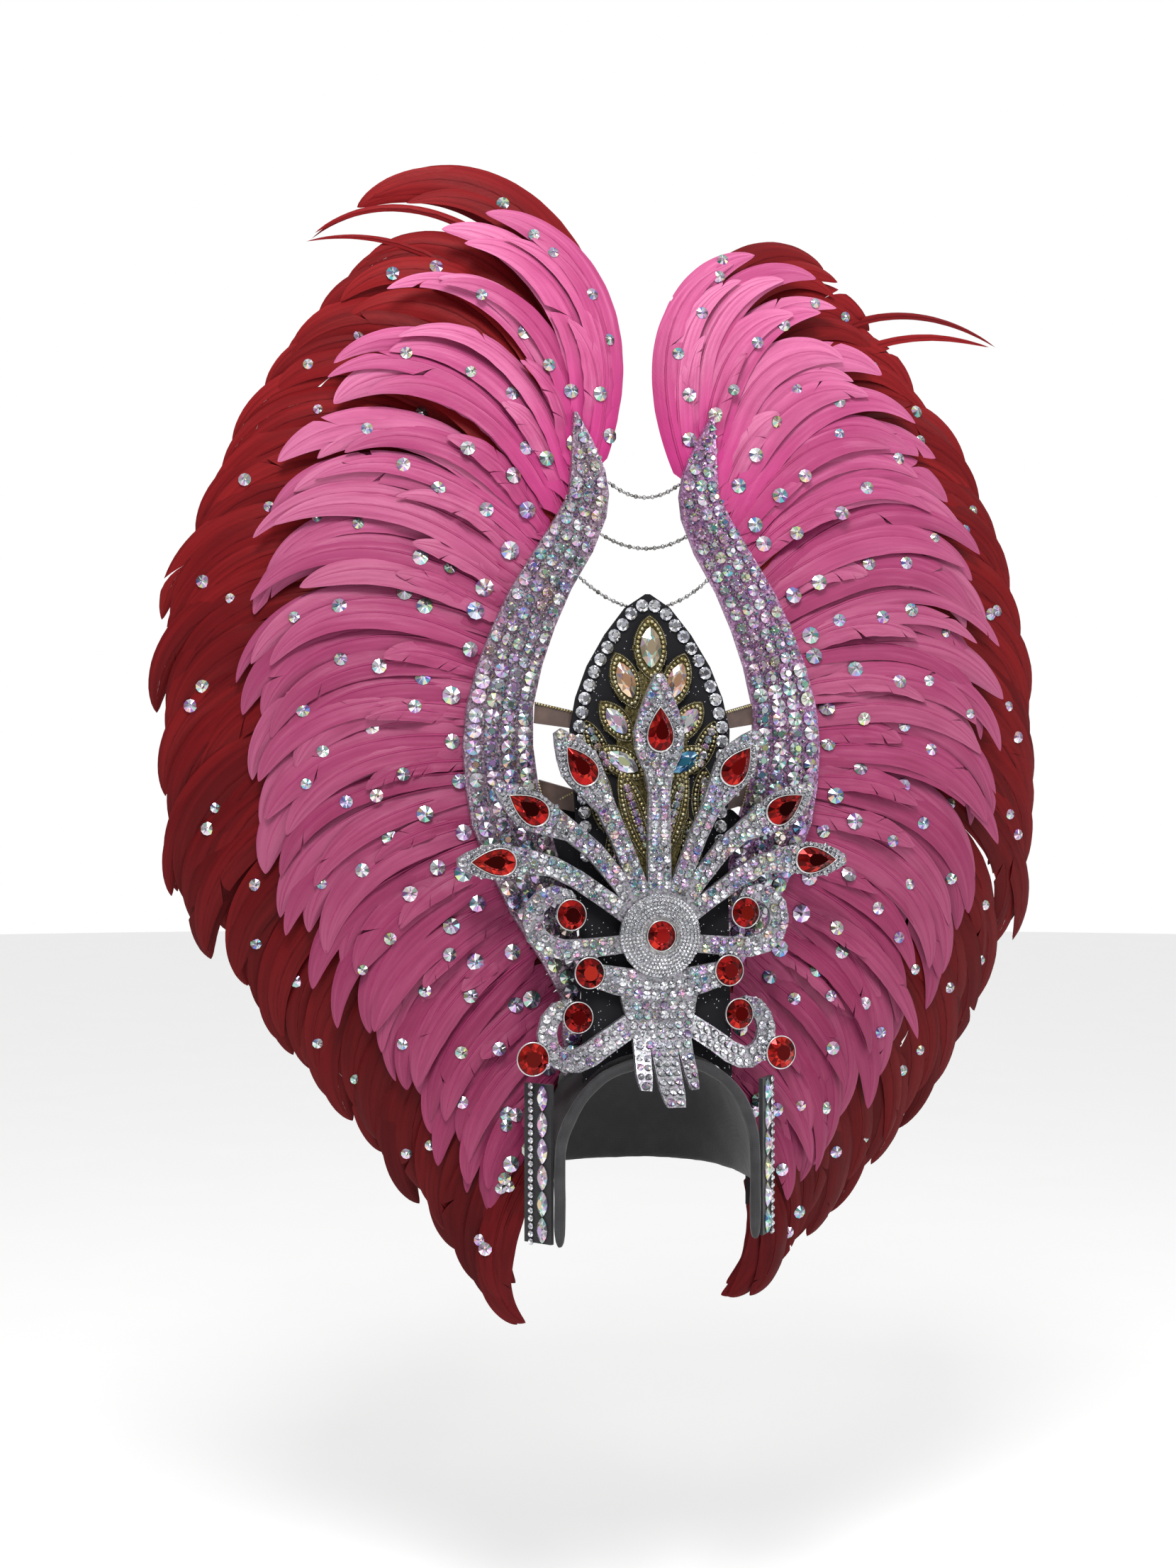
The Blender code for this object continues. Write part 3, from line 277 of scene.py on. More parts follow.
def feather_finish(name, deep, middle, light, hot, painted_shade_stops, gloss):
    """Dyed vane: colour by place on the feather and height, painted shade that darkens it
    lower down, and fine slanted barbs.
    """
    made = Finish(name, Roughness=0.5, Specular_IOR_Level=gloss)
    place = made.node("ShaderNodeSeparateXYZ", {0: made.attribute("quill")})
    along, across, chance = place.outputs
    base = made.ramp(along, [(0.0, deep), (0.30, middle), (0.72, middle), (1.0, light)])
    factor = made.math("ADD", made.math("MULTIPLY", chance, 0.80),
                       made.math("MULTIPLY", made.noise(16.0, 2.0), 0.40))
    factor = made.math("SUBTRACT", factor, 0.12, True)
    shade = made.ramp(factor, [(0.0, deep), (0.42, middle), (1.0, light)])
    base = made.mix(0.60, base, shade)

    # Long streaks along the vane: the lighter ones are painted sheen, the darker ones darken
    # the colour in streaks
    streak = made.node("ShaderNodeCombineXYZ", {
        0: made.math("MULTIPLY", along, 3.5), 1: made.math("MULTIPLY", across, 4.0),
        2: made.math("MULTIPLY", chance, 50.0)})
    satin = made.noise(1.0, 3.0, streak.outputs[0], 0.55)
    base = made.mix(made.spread(satin, 0.0, 0.60, 0.45, 0.75), base, rgba(deep))
    base = made.mix(made.spread(satin, 0.45, 0.0, 0.25, 0.45), base, rgba(light))

    ways = made.node("ShaderNodeTexCoord").outputs["Object"]
    height = made.node("ShaderNodeSeparateXYZ", {0: ways}).outputs[2]
    warm = made.math("MULTIPLY", made.spread(height, 0.0, 1.0, 0.33, 0.42),
                     made.spread(along, 0.85, 0.0, 0.10, 0.45))
    base = made.mix(warm, base, rgba(hot))
    # Painted shade: the vane's colour is multiplied darker lower down on the fans
    painted_shade = made.ramp(made.spread(height, 0.0, 1.0, PAINTED_SHADE_LOW, PAINTED_SHADE_HIGH), painted_shade_stops)
    base = made.mix(1.0, base, painted_shade, "MULTIPLY")

    fine = made.noise(1.0, 3.0, made.attribute("barb"), 0.6)
    base = made.mix(made.spread(fine, 0.0, 0.30), base, rgba(deep))
    edge = made.math("ABSOLUTE", across, 0.0)
    stem = made.math("SUBTRACT", 1.0, made.math("MULTIPLY", edge, 11.0), True)
    base = made.mix(made.math("MULTIPLY", stem, 0.45), base, rgba(deep))
    return made.wire(Base_Color=base, Normal=made.bump(fine, 0.35, 0.0006),
                     Roughness=made.spread(fine, 0.40, 0.62))


def stone_finish(name, roughness, metallic, coat=0.0, glint=0.08):
    """Cut stone: facet colours over a bright backing, with fine specks of painted white
    glint.
    """
    made = Finish(name, Roughness=roughness, Metallic=metallic, Coat_Weight=coat,
                  Coat_Roughness=0.03)
    tint = made.node("ShaderNodeAttribute", attribute_name="tint").outputs["Color"]
    # Painted glint: fine specks where the colour is mixed towards white
    painted_glint_speck = made.noise(900.0, 1.0)
    base = made.mix(made.spread(painted_glint_speck, 0.0, glint), tint, rgba((1.0, 1.0, 1.0)))
    rough = made.spread(made.noise(260.0, 1.0), roughness * 0.6, roughness * 1.5)
    return made.wire(Base_Color=base, Roughness=rough)


def glitter_finish(name, ground, sparks, scale=820.0, metallic=0.75):
    """Glitter: small flakes of several colours that face all ways, on a black back."""
    made = Finish(name)
    vector = made.node("ShaderNodeTexCoord").outputs["Object"]
    flake = made.node("ShaderNodeTexVoronoi", {"Vector": vector, "Scale": scale})
    pick = made.node("ShaderNodeSeparateColor", {0: flake.outputs["Color"]})
    stops = [(i / len(sparks), colour) for i, colour in enumerate(sparks)]
    colour = made.ramp(pick.outputs[0], stops)
    colour = made.mix(made.spread(pick.outputs[1], 0.15, 1.0), rgba(ground), colour)
    facing = made.node("ShaderNodeNewGeometry").outputs["True Normal"]
    rearward = made.node("ShaderNodeSeparateXYZ", {0: facing}).outputs[1]
    back = made.math("GREATER_THAN", rearward, 0.5)
    colour = made.mix(back, colour, rgba((0.012, 0.012, 0.013)))
    rough = made.math("MAXIMUM", made.spread(pick.outputs[2], 0.12, 0.55), back)
    shine = made.math("MULTIPLY", made.math("SUBTRACT", 1.0, back), metallic)
    bump = made.bump(pick.outputs[1], 0.7, 0.0006)
    return made.wire(Base_Color=colour, Roughness=rough, Metallic=shine, Normal=bump)


def felt_finish(name, colour, sparkle):
    """Black felt with a fine nap and a scatter of tiny sparkles."""
    made = Finish(name, Specular_IOR_Level=0.15)
    nap = made.noise(1400.0, 3.0)
    cloud = made.noise(60.0, 2.0)
    base = made.mix(made.spread(cloud, 0.0, 0.5), rgba(colour),
                    rgba([value * 1.9 for value in colour]))
    vector = made.node("ShaderNodeTexCoord").outputs["Object"]
    grain = made.node("ShaderNodeTexVoronoi", {"Vector": vector, "Scale": 620.0})
    pick = made.node("ShaderNodeSeparateColor", {0: grain.outputs["Color"]})
    near = made.math("LESS_THAN", grain.outputs["Distance"], 0.24)
    lucky = made.math("GREATER_THAN", pick.outputs[0], 1.0 - sparkle)
    spark = made.math("MULTIPLY", near, lucky)
    base = made.mix(spark, base, rgba((0.75, 0.78, 0.85)))
    rough = made.spread(spark, 0.88, 0.2)
    return made.wire(Base_Color=base, Roughness=rough, Metallic=spark,
                     Normal=made.bump(nap, 0.5, 0.0004))


def knit_finish(name, colour, light):
    """Stretch cloth: fine ribs both ways, with worn lighter patches."""
    made = Finish(name, Roughness=0.72, Sheen_Weight=0.25, Sheen_Roughness=0.4)
    vector = made.node("ShaderNodeTexCoord").outputs["Object"]
    ribs = [made.node("ShaderNodeTexWave", {"Vector": vector, "Scale": 420.0,
                                            "Distortion": 1.5}, bands_direction=way)
            for way in ("X", "Z")]
    weave = made.math("MULTIPLY", ribs[0].outputs[1], ribs[1].outputs[1])
    cloud = made.noise(70.0, 3.0)
    patch = made.math("MULTIPLY", cloud, made.spread(weave, 0.5, 1.0))
    base = made.ramp(patch, [(0.25, colour), (0.75, light)])
    rough = made.spread(cloud, 0.6, 0.85)
    return made.wire(Base_Color=base, Roughness=rough,
                     Normal=made.bump(weave, 0.4, 0.0003))


def bead_finish(name, roughness=0.28):
    """Metal beads: tinted by face with a slight tarnish."""
    made = Finish(name, Metallic=0.9, Roughness=roughness)
    tint = made.node("ShaderNodeAttribute", attribute_name="tint").outputs["Color"]
    tarnish = made.noise(180.0, 3.0)
    base = made.mix(made.spread(tarnish, 0.0, 0.55), tint, rgba((0.10, 0.08, 0.04)))
    return made.wire(Base_Color=base, Roughness=made.spread(tarnish, 0.2, 0.45))


def satin_finish(name, colour, light):
    """Brown satin with lengthwise threads."""
    made = Finish(name, Roughness=0.45, Sheen_Weight=0.3)
    vector = made.node("ShaderNodeTexCoord").outputs["Object"]
    thread = made.node("ShaderNodeTexWave", {"Vector": vector, "Scale": 600.0,
                                             "Distortion": 2.0}, bands_direction="Z")
    cloud = made.noise(90.0, 2.0)
    base = made.ramp(made.math("MULTIPLY", cloud, made.spread(thread.outputs[1], 0.6, 1.1)),
                     [(0.2, colour), (0.8, light)])
    return made.wire(Base_Color=base, Normal=made.bump(thread.outputs[1], 0.3, 0.0003))


# Feathers

def blend(values, share):
    """Catmull-Rom row of a table at a share from 0 to 1."""
    last = len(values) - 1
    place = min(max(share, 0.0), 1.0) * last
    start = min(int(place), last - 1)
    t = place - start
    a, b, c, d = (values[min(max(start + step, 0), last)] for step in (-1, 0, 1, 2))
    return 0.5 * (2 * b + (c - a) * t + (2 * a - 5 * b + 4 * c - d) * t * t
                  + (3 * b - a - 3 * c + d) * t ** 3)


def quill_line(side, tier, share, length_share, turn, curl, forward, steps=36):
    """Points of a feather's quill from behind the horn to its tip."""
    row = blend(FAN_STATIONS, share)
    red = tier == "red"
    column = 4 + (1 if red else 0) + (0 if side > 0 else 2)
    length = row[column] * (RED_LENGTH if red else PINK_LENGTH) * length_share
    start, end = math.radians(row[2]), math.radians(row[3])
    t = (np.arange(steps) + 0.5) / steps
    heading = start + turn + (end - start) * (t * length_share) ** 1.5 + curl * t ** 3
    lean = row[8] * FAN_SWEEP * (SWEEP_AT_ROOT + SWEEP_PER_METRE * t * length)
    if red:
        lean = lean + RED_EXTRA_SWEEP
    pace = length / steps
    moves = np.stack([side * np.cos(lean) * np.cos(heading), np.sin(lean),
                      np.cos(lean) * np.sin(heading)], axis=1) * pace
    seat = np.array([-side * math.cos(heading[0]), 0.0, -math.sin(heading[0])])
    root = np.array([side * row[0] * HORN_REACH, RED_SEAT_Y if red else PINK_SEAT_Y,
                     row[1] * HORN_TOP])
    deeper = min((share - 0.58) / 0.10, (0.90 - share) / 0.08, 1.0)
    seat *= FAN_SEAT + LOW_SEAT * max(deeper, 0.0)
    line = np.vstack([root + seat, root, root + np.cumsum(moves, axis=0)])
    reach = np.concatenate([[0, 0], (np.arange(steps) + 1) * pace])
    rise = np.clip((reach - HORN_CLEAR) / 0.05, 0, 1)
    line[:, 1] -= forward * rise * rise * (3 - 2 * rise)
    return line


def hang(tier, share):
    """Degrees a feather of a fan droops at its tip."""
    droop = RED_DROOP if tier == "red" else PINK_DROOP
    ramp = 0.15 + 4.2 * share if tier == "red" else 0.35 + 8 * share
    return droop * min(ramp, 1.0) * (1 - 0.55 * share)


def even_shares(side, tier, count, first=0.0, last=1.0):
    """Shares down the horn that space feathers evenly where they show."""
    trial = np.linspace(first, last, 200)
    lines = [quill_line(side, tier, share, 1.0, 0, 0, 0, 16) for share in trial]
    reach = np.zeros(len(trial))
    for place, weight in ((1, 0.35), (12, 0.65)):
        marks = np.array([line[place] for line in lines])
        steps = np.linalg.norm(np.diff(marks, axis=0), axis=1)
        reach[1:] += weight * np.cumsum(steps)
    order = np.arange(count) + 0.5 + rng.uniform(-0.25, 0.25, count)
    return np.interp(order / count * reach[-1], reach, trial)


class Feathers:
    """Single feathers gathered into one mesh, with their barb coordinates."""

    def __init__(self):
        self.points = []
        self.faces = []
        self.quill = []
        self.barb = []
        self.count = 0

    def keep(self, points, faces, quill, barb):
        """Add one patch."""
        self.points.append(points)
        self.faces.append(faces + self.count)
        self.quill.append(quill)
        self.barb.append(barb)
        self.count += len(points)

    def make(self, name, finish, slot, nodes):
        """Turn the feathers into one piece."""
        points = np.concatenate(self.points)
        faces = np.concatenate(self.faces)
        mesh = bpy.data.meshes.new(name)
        mesh.vertices.add(len(points))
        mesh.vertices.foreach_set("co", points.astype(np.float32).ravel())
        mesh.loops.add(faces.size)
        mesh.loops.foreach_set("vertex_index", faces.astype(np.int32).ravel())
        mesh.polygons.add(len(faces))
        mesh.polygons.foreach_set("loop_start", np.arange(0, faces.size, 4, np.int32))
        mesh.update(calc_edges=True)
        for key, values in (("quill", self.quill), ("barb", self.barb)):
            attribute = mesh.attributes.new(key, "FLOAT_VECTOR", "POINT")
            attribute.data.foreach_set("vector",
                                       np.concatenate(values).astype(np.float32).ravel())
        mesh.shade_smooth()
        return add_piece(name, mesh, finish, nodes)


def grid_faces(rows, columns):
    """Quads of a grid of points stored row by row."""
    i, j = np.meshgrid(np.arange(rows - 1), np.arange(columns - 1), indexing="ij")
    corner = (i * columns + j).ravel()
    return np.stack([corner, corner + 1, corner + columns + 1, corner + columns], axis=1)


def add_feather(pile, line, side, width, twist, frayed, lines=50):
    """One feather: a cambered vane each side of a slim quill, notched or frayed."""
    place = np.linspace(0, 1, len(line))
    length = np.sum(np.linalg.norm(np.diff(line, axis=0), axis=1))
    slant = width * 0.62 / length
    chance = rng.random()
    camber = width * rng.uniform(0.10, 0.17)
    tip_power = rng.uniform(1.5, 2.5)
    tip_start = rng.uniform(0.42, 0.64)
    roll = math.radians(twist) * rng.uniform(0.6, 1.35)
    wave = rng.uniform(0, 2 * math.pi)
    turn_along = math.radians(rng.uniform(-14, 10))
    pucker = 0.0010 if frayed else 0.0004

    def spot(s, u, lift):
        """Point of the vane at a share along, a signed share across and a lift."""
        centre = np.stack([np.interp(s, place, line[:, k]) for k in range(3)], axis=-1)
        ahead = np.stack([np.interp(s + 0.02, place, line[:, k])
                          - np.interp(s - 0.02, place, line[:, k]) for k in range(3)],
                         axis=-1)
        ahead /= np.linalg.norm(ahead, axis=-1, keepdims=True) + 1e-9
        out = np.stack([side * ahead[..., 2], np.zeros_like(s), -side * ahead[..., 0]],
                       axis=-1)
        out /= np.linalg.norm(out, axis=-1, keepdims=True) + 1e-9
        face = np.cross(out, ahead) * side
        face *= np.where(face[..., 1:2] > 0, -1.0, 1.0)
        angle = roll + turn_along * s
        cos, sin = np.cos(angle)[..., None], np.sin(angle)[..., None]
        across = out * cos + face * sin
        normal = face * cos - out * sin
        tip = np.clip((s - tip_start) / (1 - tip_start), 0, 1)
        taper = np.clip(1 - tip ** tip_power, 0, 1) ** 0.66
        root = 0.62 + 0.38 * np.clip(s / 0.30, 0, 1) ** 0.7
        half = width / 2 * taper * root
        bow = -camber * u ** 2 * taper + lift
        bow = bow + 0.0009 * np.sin(wave + s * 11) * np.abs(u) * taper
        bow = bow + pucker * np.sin(wave * 3 + s * length * 330) * np.abs(u) * taper * (
            1 - 0.7 * s)
        return centre + across * (half * u)[..., None] + normal * bow[..., None]

    for edge in (-1, 1):
        cuts = [0.0, 1.0]
        if frayed:
            cuts = [0.0, *np.cumsum(rng.uniform(0.10, 0.42, 8))]
            cuts = [cut for cut in cuts if cut < 0.94] + [1.0]
        elif rng.random() < SPLIT_CHANCE:
            cuts = [0.0, rng.uniform(0.50, 0.90), 1.0]
        notch = 0.014 if frayed else 0.026
        for low, high in zip(cuts, cuts[1:]):
            rows = max(4, int(round((high - low) * lines)) + 1)
            columns = 5
            s0 = np.linspace(low, high, rows)[:, None]
            u = np.linspace(0, 1, columns)[None, :]
            open_low = rng.uniform(0.1, 1.0) * notch if low > 0 else 0.0
            open_high = rng.uniform(0.1, 1.0) * notch if high < 1 else 0.0
            start = s0 + u ** 2 * (open_low * np.exp((low - s0) / 0.05)
                                   - open_high * np.exp((s0 - high) / 0.05))
            rest = np.maximum(1 - start, 1e-4)
            s = 1 - rest * np.exp(-slant * u / rest)
            lift = rng.uniform(-0.0004, 0.0007) * (2.2 if frayed else 1.0)
            points = spot(s, edge * u * np.ones_like(s), lift * u ** 2 * np.ones_like(s))
            faces = grid_faces(rows, columns)
            if edge * side > 0:
                faces = faces[:, ::-1]
            quill = np.stack([s.ravel(), (edge * u * np.ones_like(s)).ravel(),
                              np.full(s.size, chance)], axis=1)
            barb = np.stack([(s0 * length * 900 * np.ones_like(s)).ravel(),
                             (u * width * 70 * np.ones_like(s)).ravel(),
                             np.full(s.size, chance * 40 + edge)], axis=1)
            pile.keep(points.reshape(-1, 3), faces, quill, barb)

    rings, sides = 16, 4
    s = np.linspace(0, 0.97, rings)[:, None] * np.ones((1, sides))
    angle = np.arange(sides)[None, :] * (2 * math.pi / sides)
    radius = 0.0008 * (1 - 0.8 * s)
    half = np.maximum(width / 2 * 0.6, 1e-4)
    points = spot(s, np.cos(angle) * radius / half, np.sin(angle) * radius)
    i, j = np.meshgrid(np.arange(rings - 1), np.arange(sides), indexing="ij")
    a, b = (i * sides + j).ravel(), (i * sides + (j + 1) % sides).ravel()
    faces = np.stack([a, b, b + sides, a + sides], axis=1)
    quill = np.stack([s.ravel(), np.zeros(s.size), np.full(s.size, chance)], axis=1)
    barb = np.stack([s.ravel() * 20, np.zeros(s.size), np.full(s.size, 3.0)], axis=1)
    pile.keep(points.reshape(-1, 3), faces, quill, barb)


def make_fans():
    """Both fans on both sides, each one piece in place of its solid."""
    pink = feather_finish("pink_vane", (0.36, 0.030, 0.135), (0.58, 0.098, 0.270),
                          (0.82, 0.270, 0.480), (0.72, 0.042, 0.300),
                          [(0.0, (0.40, 0.21, 0.27)), (0.35, (0.47, 0.36, 0.38)),
                           (0.70, (0.63, 0.58, 0.57)), (1.0, (1.0, 1.0, 1.0))], 0.26)
    red = feather_finish("red_vane", (0.090, 0.003, 0.005), (0.230, 0.008, 0.011),
                         (0.34, 0.017, 0.019), (0.24, 0.008, 0.011),
                         [(0.0, (0.42, 0.34, 0.40)), (0.35, (0.52, 0.42, 0.46)),
                          (0.70, (0.78, 0.72, 0.74)), (1.0, (1.0, 1.0, 1.0))], 0.10)
    for side, word in ((-1, "right"), (1, "left")):
        for tier, layers, finish in (("red", RED_LAYERS, red), ("pink", PINK_LAYERS, pink)):
            pile = Feathers()
            for count, first, last, length, spread, width, forward, twist, frayed in layers:
                bundle = 0.0
                for number, share in enumerate(even_shares(side, tier, count, first, last)):
                    if number % BUNDLE == 0:
                        bundle = rng.uniform(-1, 1)
                    droop = hang(tier, share)
                    gain = 1.0
                    if tier == "red":
                        gain += RED_SIDE_GAIN[side] * math.sin(math.pi * share)
                    if tier == "red" and side < 0:
                        near = (share - TOP_RED_SHARE) / TOP_RED_SPREAD
                        gain += TOP_RED_GAIN * math.exp(-near * near)
                    line = quill_line(side, tier, share,
                                      length * gain * (1 + rng.uniform(-1, 0.5) * spread),
                                      math.radians(4.0 * bundle + rng.uniform(-2.5, 2.5)),
                                      math.radians(droop + 6 * bundle
                                                   + rng.uniform(-12, 10)),
                                      forward + 0.0010 * bundle)
                    size = width * rng.uniform(0.72, 1.16) * (0.72 + 0.28 * (1 - share ** 3))
                    add_feather(pile, line, side, size, twist, frayed)
            if tier == "red":
                for where, share, length, turn, curl in WISPS:
                    if where == side:
                        line = quill_line(side, tier, share, length, math.radians(turn),
                                          math.radians(curl), 0.0)
                        add_feather(pile, line, side, WISP_WIDTH, 0, False)
            pile.make(f"{tier}_feathers_{word}", finish, f"{tier}_feather",
                      [f"{tier}_plume_{word}"])


# Stones and beads

def outline(kind, count):
    """Unit outline with its point towards +Y, counter-clockwise."""
    angle = 2 * math.pi * np.arange(count) / count
    x, y = -np.sin(angle), np.cos(angle)
    if kind == "tear":
        x = x * np.sin(angle / 2) * 1.30
    if kind == "marquise":
        x = x * np.sqrt(np.abs(np.sin(angle)))
    return np.stack([x, y], axis=1)


def cut(kind, count, table=0.45, girdle=0.25):
    """Unit stone, 1 wide, 1 long and 1 high: its wall, then star facets and a table."""
    ring = outline(kind, count) / 2
    turned = (ring + np.roll(ring, -1, axis=0)) / 2
    inner = turned * (table + (1 - table) * 0.35)
    levels = [(ring, 0.0), (ring, girdle), (inner, 0.72)]
    points = [np.column_stack([shape, np.full(count, level)]) for shape, level in levels]
    following = [(i + 1) % count for i in range(count)]
    faces = [(i, j, count + j, count + i) for i, j in enumerate(following)]
    for i, j in enumerate(following):
        faces.append((count + i, count + j, 2 * count + i))
        faces.append((count + j, 2 * count + j, 2 * count + i))
    if table > 0:
        points.append(np.column_stack([ring * table, np.ones(count)]))
        for i, j in enumerate(following):
            faces.append((2 * count + i, 3 * count + j, 3 * count + i))
            faces.append((2 * count + i, 2 * count + j, 3 * count + j))
        faces.append(tuple(3 * count + i for i in range(count)))
    else:
        points.append(np.array([[0.0, 0.0, 1.0]]))
        faces += [(2 * count + i, 2 * count + j, 3 * count)
                  for i, j in enumerate(following)]
    return np.vstack(points), faces, count


def ball(rings, sides, low=0.0):
    """Unit bead, 1 across, cut off below a height when low is above 0."""
    levels = np.linspace(-math.pi / 2, math.pi / 2, rings + 1)[1:-1]
    points = [np.column_stack([np.cos(level) * np.cos(turn), np.cos(level) * np.sin(turn),
                               np.full(sides, math.sin(level))])
              for level in levels
              for turn in [2 * math.pi * np.arange(sides) / sides]]
    count = len(points)
    points = np.vstack([*points, [[0, 0, -1]], [[0, 0, 1]]]) / 2
    points[:, 2] = np.maximum(points[:, 2], low - 0.5)
    faces = []
    for i in range(count - 1):
        for j in range(sides):
            k = (j + 1) % sides
            faces.append((i * sides + j, i * sides + k, (i + 1) * sides + k,
                          (i + 1) * sides + j))
    for j in range(sides):
        k = (j + 1) % sides
        faces.append((k, j, count * sides))
        faces.append(((count - 1) * sides + j, (count - 1) * sides + k, count * sides + 1))
    return points, faces, 0


RIVOLI = cut("round", 10, 0.0, 0.34)
CHATON = cut("round", 10, 0.42, 0.34)
SMALL_CHATON = cut("round", 7, 0.45, 0.36)
ROUND_RED = cut("round", 14, 0.50, 0.28)
TEAR_RED = cut("tear", 16, 0.50, 0.28)
MARQUISE = cut("marquise", 12, 0.42, 0.25)
BEAD = ball(4, 8)


WALL_SHADE = 0.30


def pick(palette, shares, count):
    """Random facet colours from a palette."""
    colours = palette[rng.choice(len(palette), count, p=shares)]
    return np.clip(colours * rng.uniform(0.85, 1.1, (count, 1)), 0, 1)


def put(pile, shape, point, normal, up, size, palette=COATED, shares=COATED_SHARES,
        mood=0.0, flash=0.05):
    """Seat a unit shape on a surface; mood pulls its facets towards one colour, a few facets
    turn near-white as painted highlights and the walls are darkened as painted shade.
    """
    points, faces, walls = shape
    ahead = Vector(normal).normalized()
    side = Vector(up).cross(ahead).normalized()
    top = ahead.cross(side)
    turn = np.array([side, top, ahead])
    placed = (points * np.array(size)) @ turn + np.array(point)
    colours = pick(palette, shares, len(faces))
    if mood:
        colours = colours * (1 - mood) + pick(palette, shares, 1) * mood
    # Painted highlight: a share of facets, set by flash, turned near-white
    bright = rng.random((len(faces), 1))
    colours = np.where(bright > 1 - flash, colours * 0.3 + 0.7, colours)
    # Painted shade on the girdle walls
    colours[:walls] *= WALL_SHADE
    pile.add(placed, faces, colours)


# Reading the frame

def merged(node):
    """A mesh of a node with its doubled points joined."""
    shape = bmesh.new()
    shape.from_mesh(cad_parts[node].data)
    bmesh.ops.remove_doubles(shape, verts=shape.verts[:], dist=1e-6)
    return shape


def surface(node):
    """A searchable surface of a node."""
    shape = merged(node)
    tree = BVHTree.FromBMesh(shape)
    shape.free()
    return tree


def front(tree, x, z):
    """Point and normal where a node's front is met from straight ahead."""
    point, normal, _, _ = tree.ray_cast(Vector((x, -0.3, z)), Vector((0, 1, 0)))
    if point is None:
        return None, None
    return point, normal if normal.y < 0 else -normal


def spread_at(node, z):
    """Lowest and highest x of a node at a height."""
    shape = merged(node)
    found = []
    for edge in shape.edges:
        a, b = (vert.co for vert in edge.verts)
        if (a.z - z) * (b.z - z) <= 0 and a.z != b.z:
            found.append(a.x + (b.x - a.x) * (z - a.z) / (b.z - a.z))
    shape.free()
    return (min(found), max(found)) if found else None


def flat_seat(node):
    """Base centre, facing, tip direction, width and length of a cut stone's solid."""
    shape = merged(node)
    points = np.array([vert.co for vert in shape.verts])
    shape.free()
    centre = points.mean(axis=0)
    normal = np.linalg.svd(points - centre)[2][2]
    normal *= -1 if normal[1] > 0 else 1
    depth = (points - centre) @ normal
    flat = points - centre - np.outer(depth, normal)
    spread, ways = np.linalg.svd(flat)[1:]
    tip = ways[0]
    if spread[0] < 1.06 * spread[1]:
        tip = np.array([0.0, 0.0, 1.0])
    along, across = flat @ tip, flat @ np.cross(tip, normal)
    third = np.ptp(along) / 3
    top = np.abs(across[along > along.max() - third]).max()
    foot = np.abs(across[along < along.min() + third]).max()
    if top > foot * 1.05:
        tip = -tip
    side = np.cross(tip, normal)
    along, across = flat @ tip, flat @ side
    middle = centre + tip * (along.max() + along.min()) / 2
    middle += side * (across.max() + across.min()) / 2
    return (middle + normal * depth.min(), normal, tip, np.ptp(across), np.ptp(along),
            np.ptp(depth))


def evenly(points, pitch):
    """Points and headings a fixed distance apart along a line."""
    points = np.asarray(points, float)
    steps = np.linalg.norm(np.diff(points, axis=0), axis=1)
    reach = np.concatenate([[0], np.cumsum(steps)])
    count = max(1, int(round(reach[-1] / pitch)))
    at = (np.arange(count) + 0.5) * reach[-1] / count
    spots = np.stack([np.interp(at, reach, points[:, k]) for k in range(3)], axis=1)
    ahead = np.stack([np.interp(at + 1e-4, reach, points[:, k])
                      - np.interp(at - 1e-4, reach, points[:, k]) for k in range(3)], axis=1)
    return spots, ahead / (np.linalg.norm(ahead, axis=1, keepdims=True) + 1e-12)


# The pieces

HORN_STONE = 0.0108
HORN_SMALL_STONE = 0.0085


